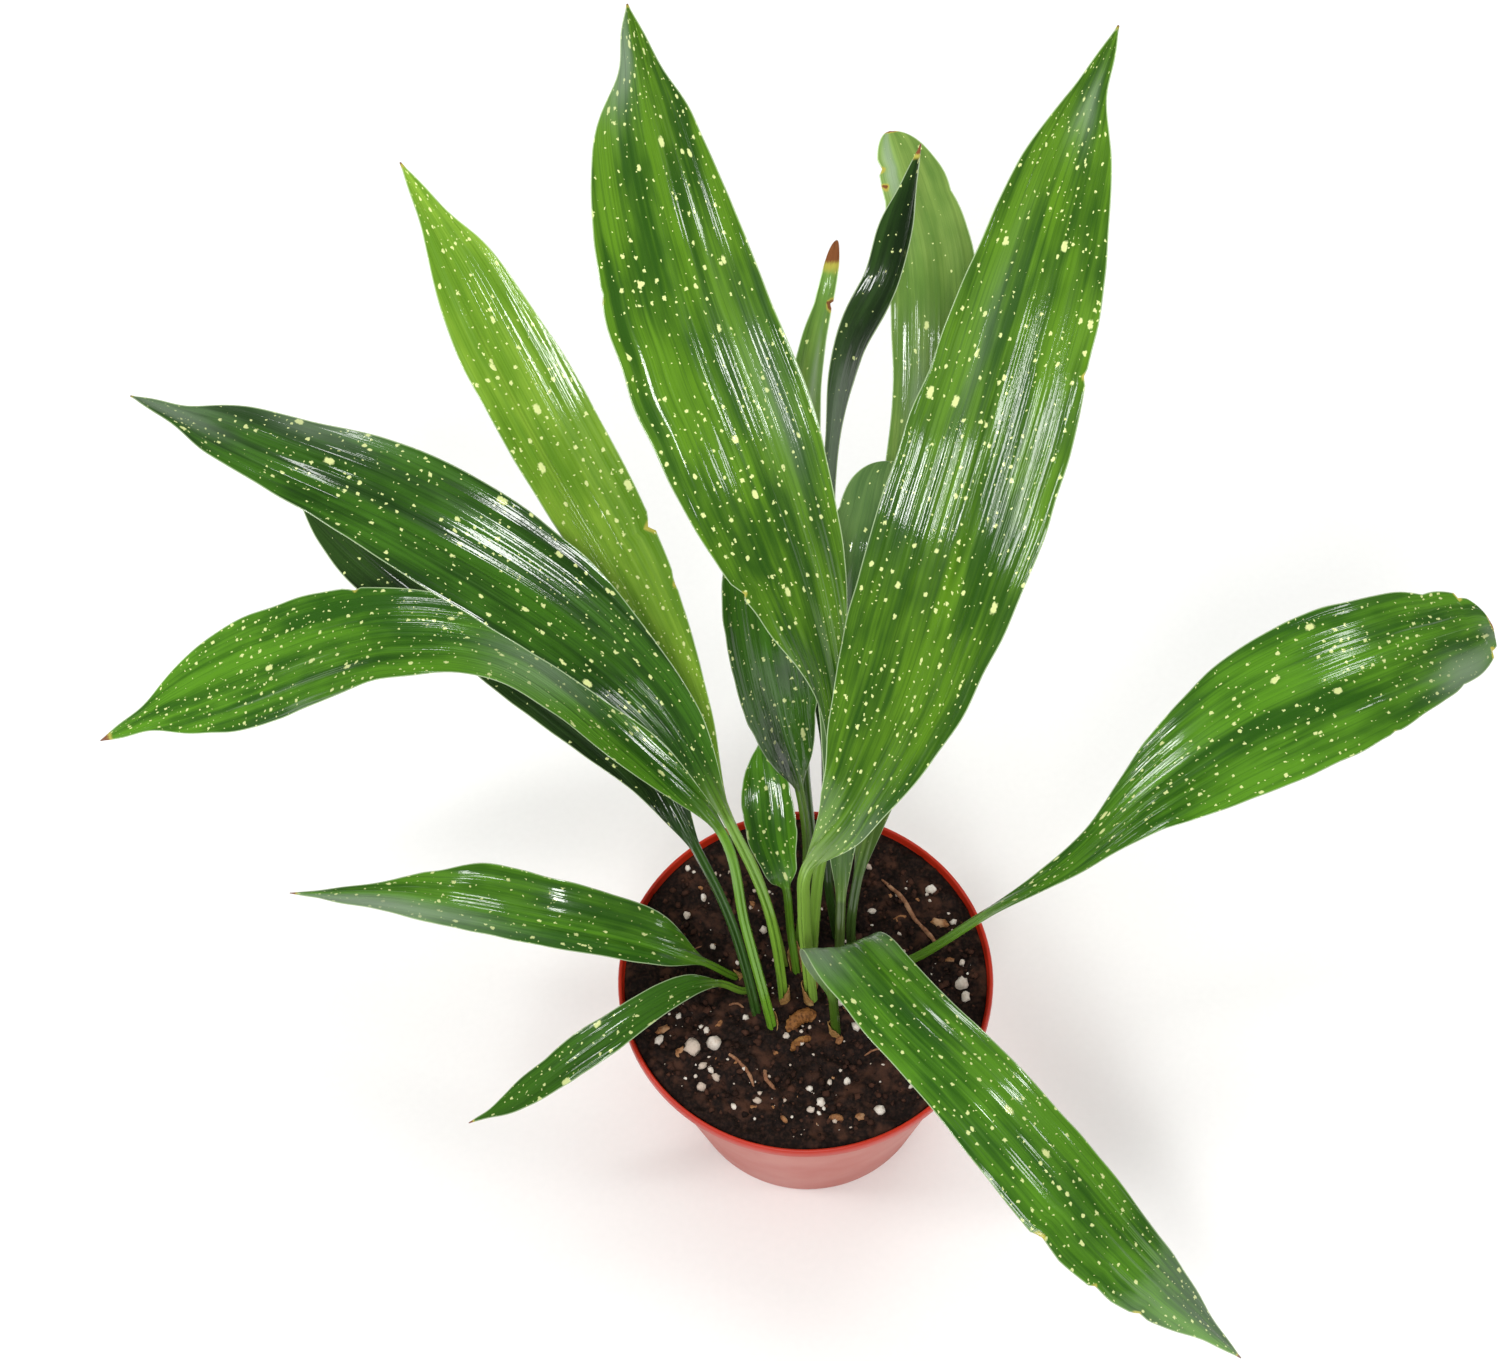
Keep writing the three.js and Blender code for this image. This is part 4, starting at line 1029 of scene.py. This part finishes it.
def build_leaf(number, leaf, look):
    """Rolls a grid into one leaf: a channelled stalk that opens into a thin pleated blade."""
    rng = np.random.default_rng(100 + number)
    way = Route(leaf["route"])
    collar = way.share(leaf["collar"])
    # t runs from -1 at the foot through 0 at the collar to 1 at the tip, and s along the route;
    # the stations close up toward the tip, most of all toward a round one
    k = np.linspace(0, 1, BLADE_STEPS)
    blade_t = k * (1.15 - 0.15 * k)
    if leaf["blunt"]:
        q = np.linspace(0, 1, TIP_STEPS)
        blade_t = np.concatenate([np.linspace(0, 0.875, BLADE_STEPS - TIP_STEPS, endpoint=False),
                                  0.875 + 0.125 * np.sin(q * math.pi / 2)])
    stalk_t = np.linspace(0, 1, STALK_STEPS, endpoint=False)
    t = np.concatenate([stalk_t - 1, blade_t])
    s = np.concatenate([collar * stalk_t, collar + (1 - collar) * blade_t])
    # The first and last rows repeat their neighbours, to be drawn in to a point
    t, s = np.concatenate([t[:1], t, t[-1:]]), np.concatenate([s[:1], s, s[-1:]])
    point, heading = way.at(s)

    lean = np.radians(along(leaf["lean"], t))
    side = np.stack([np.sin(lean), -np.cos(lean), 0 * lean], -1)
    side -= (side * heading).sum(-1, keepdims=True) * heading
    side /= np.linalg.norm(side, axis=-1, keepdims=True)
    up = np.cross(side, heading)
    roll = np.radians(along(leaf["roll"], t))[:, None]
    right = side * np.cos(roll) + up * np.sin(roll)
    normal = up * np.cos(roll) - side * np.sin(roll)

    length = (1 - collar) * way.total / MM
    blade = smoothstep(0, OPENED, t)
    tpos = np.clip(t, 0, 1)
    stalk = leaf["stalk"] * (1 - 0.85 * tpos)
    halves = []
    for sign, widths, beak in zip((-1, 1), (leaf["left"], leaf["right"]), leaf["beak"]):
        half = np.hypot(stalk, half_width(widths, leaf["blunt"], t))
        uneven = UNEVEN * value_noise(tpos * 22 + 60, tpos * 0 + sign, 1, rng) * smoothstep(0, 0.1, t)
        half = half * (1 + uneven)
        for nick_side, place, deep, long in leaf["nicks"]:
            # A tear opens steeply and closes gently toward the tip
            if nick_side == sign:
                reach = (t - place) * length / long
                tear = np.clip(1 - np.where(reach > 0, reach, -4 * reach), 0, 1)
                half = half - deep * tear * (half > deep * 2)
        halves.append(half * (1 - beak * 0.75 * np.exp(-((t - BEAK_PLACE) / BEAK_LENGTH) ** 2)))
    halves = np.array(halves)
    widest = max(max(leaf["left"]), max(leaf["right"]))

    inner = np.linspace(-1, 1, COLUMNS - 2)
    lanes = np.concatenate([[-1], inner * LAST_LANE, [1]])
    around = 2 * COLUMNS
    fold = along(leaf["fold"], t)
    high, count, phase = leaf["wave"]
    pleats = max(2, round(widest / (look.pleat_width / MM)))
    # Pleats rise and fall in turn, each by a random height that changes along the blade
    knots = rng.uniform(0.35, 1, (PLEAT_ROWS, 2 * pleats + 2)) * (-1.0) ** np.arange(2 * pleats + 2)
    frill_phases = rng.uniform(0, 6.3, 4)
    ripple, swells = rng.uniform(-1, 1, (2, CELLS, CELLS))

    def surface(column, row):
        """Every quantity that the points and the attributes need."""
        upper = column < COLUMNS
        u = lanes[np.where(upper, column, around - 1 - column)]
        side_half = np.where(u > 0, halves[1][row], halves[0][row])
        b, tt, core = blade[row], tpos[row], stalk[row]
        x = side_half * mix(np.sin(u * math.pi / 2), u, b)
        # Fold, broad ripples, long pleats and a frilled margin
        angle = np.radians(fold[row]) * b
        rise = (np.sqrt(x * x + FOLD_SOFTNESS ** 2) - FOLD_SOFTNESS) * np.sin(angle)
        swell = np.sin(math.pi * tt)
        rise = rise + b * high * swell * u * u * np.sin(
            2 * math.pi * count * tt + phase + 1.3 * (u > 0))
        at = (u + 1) * pleats
        i, share = np.floor(at).astype(int), smoothstep(0, 1, at - np.floor(at))
        way_t = tt * (PLEAT_ROWS - 1.001)
        j, share_t = np.floor(way_t).astype(int), smoothstep(0, 1, way_t - np.floor(way_t))
        pleat = mix(mix(knots[j, i], knots[j, i + 1], share),
                    mix(knots[j + 1, i], knots[j + 1, i + 1], share), share_t)
        fullness = np.clip(side_half / widest, 0, 1) * b
        rise = rise + pleat * look.pleat_depth / MM * fullness * (1 - u ** 6)
        rise = rise + fullness * (0.24 * value_noise(x + 99, tt * length / 8 + 9, 5, ripple)
                                  + 0.55 * value_noise(x + 99, tt * length / 4 + 9, 15, swells))
        # Both halves have the same two frills, shifted on the right
        frills = sum(0.5 * np.sin(tt * length / wave + phase + shift * (u > 0))
                     for (wave, shift), phase in zip(FRILLS, frill_phases))
        rise = rise + frills * look.frill / MM * fullness * u ** 4 * swell
        # Thickness: a lens on the stalk, a thin sheet with a keel on the blade
        centre = np.clip(1 - (x / np.maximum(core, 0.2)) ** 2, 0, 1)
        lens = np.sqrt(centre)
        channel = 0.38 * np.exp(-(x / np.maximum(0.35 * core, 0.1)) ** 2)
        sheet = mix(look.thickness, look.edge, u * u) / MM / 2 * smoothstep(-0.03, 0.03, t[row])
        rib = look.rib_height / MM * (1 - tt)
        keel = np.exp(-(x / np.maximum(0.8 * core, 0.35)) ** 2)
        top = sheet + mix(core * (lens - channel) * 0.98, 0.15 * rib * keel, b)
        low = -sheet - mix(core * lens, rib * keel, b)
        groove = 0.16 * b * np.exp(-(x / 0.7) ** 2) * (1 - tt)
        rise = rise + np.where(upper, top - groove, low)
        flat = x * np.cos(angle)
        shut = (row == 0) | (row == len(t) - 1)
        return u, upper, tt, side_half, np.where(shut, 0, flat), np.where(shut, 0, rise)

    def place(column, row):
        *_, flat, rise = surface(column, row)
        points = point[row] + MM * (flat[:, None] * right[row] + rise[:, None] * normal[row])
        return np.clip(points, np.array(CAD_BOX[0]) + BOX_GAP, np.array(CAD_BOX[1]) - BOX_GAP)

    def values(column, row):
        """What the material reads at each point: places in millimetres, marks with painted light and
        shade, and painted grey sheen.
        """
        u, upper, tt, side_half, _, _ = surface(column, row)
        fan = u * widest * (np.clip(side_half / widest, 0.02, 1)) ** 0.45
        down = s[row] * way.total / MM
        edge = (1 - np.abs(u)) * side_half
        edge = np.minimum(edge, (1 - tt) * length * 0.6 + 0.2)
        # Painted light and shade on each half, the base and the tip, partly the leaf's own lighter or
        # darker green; the stalk takes its own painted light and shade
        on_left, on_right, base, tip = leaf["tone"]
        tone = (mix(on_left, on_right, smoothstep(-0.12, 0.12, u))
                + base * (1 - smoothstep(0, 0.5, tt)) + tip * smoothstep(0.5, 1, tt))
        tone = np.where(t[row] > 0, tone, leaf["stalk_light_and_shade"])
        dry = np.zeros_like(u)
        if leaf["dry"]:
            dry = 0.75 * smoothstep(leaf["dry"] * 1.5, leaf["dry"] * 0.5, (1 - tt) * length)
        for across, spot_t, radius in leaf["spots"]:
            gap = np.hypot((u - across) * side_half, (tt - spot_t) * length)
            dry = np.maximum(dry, 0.8 * smoothstep(radius * 1.6, radius * 0.6, gap))
        for nick_side, spot_t, deep, long in leaf["nicks"]:
            gap = np.hypot((nick_side - u) * side_half, (tt - spot_t) * length * 0.7)
            dry = np.maximum(dry, 0.5 * smoothstep(deep * 1.3, deep * 0.4, gap))
        # Painted grey sheen in soft patches, partly the leaf's own grey
        bloom = np.zeros_like(u)
        for across, grey_sheen_t, wide, long, strength in leaf["blooms"]:
            gap = ((u - across) / wide) ** 2 + ((t[row] - grey_sheen_t) / long) ** 2
            bloom = np.maximum(bloom, strength * np.exp(-gap))
        stalky = 1 - smoothstep(-0.02, 0.1, t[row])
        # Each leaf reads its own part of the patterns
        return {
            "blade_mm": np.stack([fan + 37.0 * number, down + 411.0 * number, 0 * u], -1),
            "blade_place": np.stack([u, t[row], upper.astype(float)], -1),
            "blade_edge": edge,
            "blade_bloom": bloom,
            "blade_marks": np.stack([dry, tone, stalky], -1),
        }

    return rolled_grid(leaf["name"].replace("leaf_", "blade_"), around, len(t) - 1, place, values)


def build_leaves(look):
    """Builds every leaf in the finish of its kind."""
    finishes = {kind: leaf_material(kind, look) for kind in LEAF_KINDS}
    for number, leaf in enumerate(LEAVES):
        piece = build_leaf(number, leaf, look)
        dress(piece, finishes[leaf["kind"]])
        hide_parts(leaf["name"])


# ---------------------------------------------------------------- stage

def build_stage(stage):
    """Lays the pale floor, hangs the softboxes and sets up the camera."""
    floor = start(bpy.ops.mesh.primitive_plane_add, "studio_floor", size=stage.floor_size,
                  location=(0, 0, 0))
    # Matt paper: even, with fibres too fine to see
    material, node, shader = new_material("matt_paper_floor")
    shade = node("Mix", {0: body_noise(node, 3, 2.0), 6: tuple(stage.floor_colour),
                         7: linear("f8f8f6")}, 2, data_type="RGBA")
    link_inputs(shader, {"Base Color": shade})
    shader.inputs["Roughness"].default_value = 0.9
    shader.inputs["Specular IOR Level"].default_value = 0.2
    floor.data.materials.append(material)

    for name, (heading, rise, reach, width, height, power) in LAMPS.items():
        lamp = bpy.data.lights.new(name, "AREA")
        lamp.shape, lamp.size, lamp.size_y = "RECTANGLE", width, height
        lamp.energy = getattr(stage, power)
        holder = bpy.data.objects.new(name, lamp)
        bpy.context.scene.collection.objects.link(holder)
        heading, rise = math.radians(heading), math.radians(rise)
        away = Vector((math.cos(heading) * math.cos(rise), math.sin(heading) * math.cos(rise),
                       math.sin(rise)))
        holder.location = Vector(LAMP_AIM) + away * reach
        holder.rotation_euler = away.to_track_quat("Z", "Y").to_euler()
        # The wide diffuser lights the floor and isn't mirrored in the leaves
        holder.visible_glossy = name != "top_diffuser"

    world = bpy.data.worlds.new("studio_fill")
    bpy.context.scene.world = world
    world.use_nodes = True
    # Black flags around the table: gloss meets a darker room than the floor does
    sight = add_node(world.node_tree, "LightPath", out="Is Glossy Ray")
    level = add_node(world.node_tree, "MapRange", {0: sight, 3: stage.sky, 4: stage.sky_gloss})
    fill = world.node_tree.nodes["Background"]
    fill.inputs["Color"].default_value = (1.0, 1.0, 1.0, 1.0)
    link_inputs(fill, {"Strength": level})

    lens = bpy.data.cameras.new("photo_camera")
    lens.sensor_fit, lens.sensor_width, lens.lens = "HORIZONTAL", CAMERA_SENSOR, CAMERA_LENS
    lens.clip_start, lens.clip_end = 0.05, 30
    camera = bpy.data.objects.new("photo_camera", lens)
    bpy.context.scene.collection.objects.link(camera)
    # Looks north and down, turned about its own view
    pitch = Matrix.Rotation(math.radians(90 - CAMERA_DOWN), 4, "X")
    roll = Matrix.Rotation(math.radians(-CAMERA_ROLL), 4, "Z")
    camera.matrix_world = Matrix.Translation(CAMERA_PLACE) @ pitch @ roll
    bpy.context.scene.camera = camera
    bpy.context.scene.view_settings.view_transform = "Standard"


class PLANT_OT_pot(bpy.types.Operator):
    """Makes the moulded nursery pot"""
    bl_idname = "plant.pot"
    bl_label = "Nursery pot"

    def execute(self, context):
        build_pot(context.scene.plant_pot)
        return {"FINISHED"}


class PLANT_OT_soil(bpy.types.Operator):
    """Fills the pot with soil, perlite, bark, crumbs and twigs"""
    bl_idname = "plant.soil"
    bl_label = "Potting soil"

    def execute(self, context):
        build_soil(context.scene.plant_soil, context.scene.plant_pot)
        build_grit(context.scene.plant_soil)
        return {"FINISHED"}


class PLANT_OT_rootstock(bpy.types.Operator):
    """Makes the rootstock and the papery sheaths at the stalks' feet"""
    bl_idname = "plant.rootstock"
    bl_label = "Rootstock and sheaths"

    def execute(self, context):
        build_rootstock()
        return {"FINISHED"}


class PLANT_OT_leaves(bpy.types.Operator):
    """Makes the sixteen leaves with their stalks"""
    bl_idname = "plant.leaves"
    bl_label = "Leaves"

    def execute(self, context):
        build_leaves(context.scene.plant_leaves)
        return {"FINISHED"}


class PLANT_OT_stage(bpy.types.Operator):
    """Sets up the floor, the lights and the camera"""
    bl_idname = "plant.stage"
    bl_label = "Stage"

    def execute(self, context):
        build_stage(context.scene.plant_stage)
        return {"FINISHED"}


class PLANT_PT_parts(bpy.types.Panel):
    """Lists the plant's parts with their sizes and colours"""
    bl_idname = "PLANT_PT_parts"
    bl_label = "Potted cast iron plant"
    bl_space_type = "VIEW_3D"
    bl_region_type = "UI"
    bl_category = "Plant"

    def draw(self, context):
        for maker, group in PARTS:
            box = self.layout.box()
            box.operator(maker.bl_idname)
            settings = getattr(context.scene, group)
            for key in settings.bl_rna.properties.keys():
                if key not in {"rna_type", "name"}:
                    box.prop(settings, key)


PARTS = (
    (PLANT_OT_pot, "plant_pot"),
    (PLANT_OT_soil, "plant_soil"),
    (PLANT_OT_rootstock, "plant_soil"),
    (PLANT_OT_leaves, "plant_leaves"),
    (PLANT_OT_stage, "plant_stage"),
)
GROUPS = {
    "plant_pot": PotSettings,
    "plant_soil": SoilSettings,
    "plant_leaves": LeafSettings,
    "plant_stage": StageSettings,
}


def register():
    for group in GROUPS.values():
        bpy.utils.register_class(group)
    for maker, _ in PARTS:
        bpy.utils.register_class(maker)
    bpy.utils.register_class(PLANT_PT_parts)
    for key, group in GROUPS.items():
        setattr(bpy.types.Scene, key, PointerProperty(type=group))


def unregister():
    for key in GROUPS:
        delattr(bpy.types.Scene, key)
    bpy.utils.unregister_class(PLANT_PT_parts)
    for maker, _ in reversed(PARTS):
        bpy.utils.unregister_class(maker)
    for group in reversed(GROUPS.values()):
        bpy.utils.unregister_class(group)


def main():
    register()
    bpy.ops.plant.stage()
    bpy.ops.plant.pot()
    bpy.ops.plant.soil()
    bpy.ops.plant.rootstock()
    bpy.ops.plant.leaves()
    only(bpy.data.objects["pot_shell"])


if __name__ == "__main__":
    main()
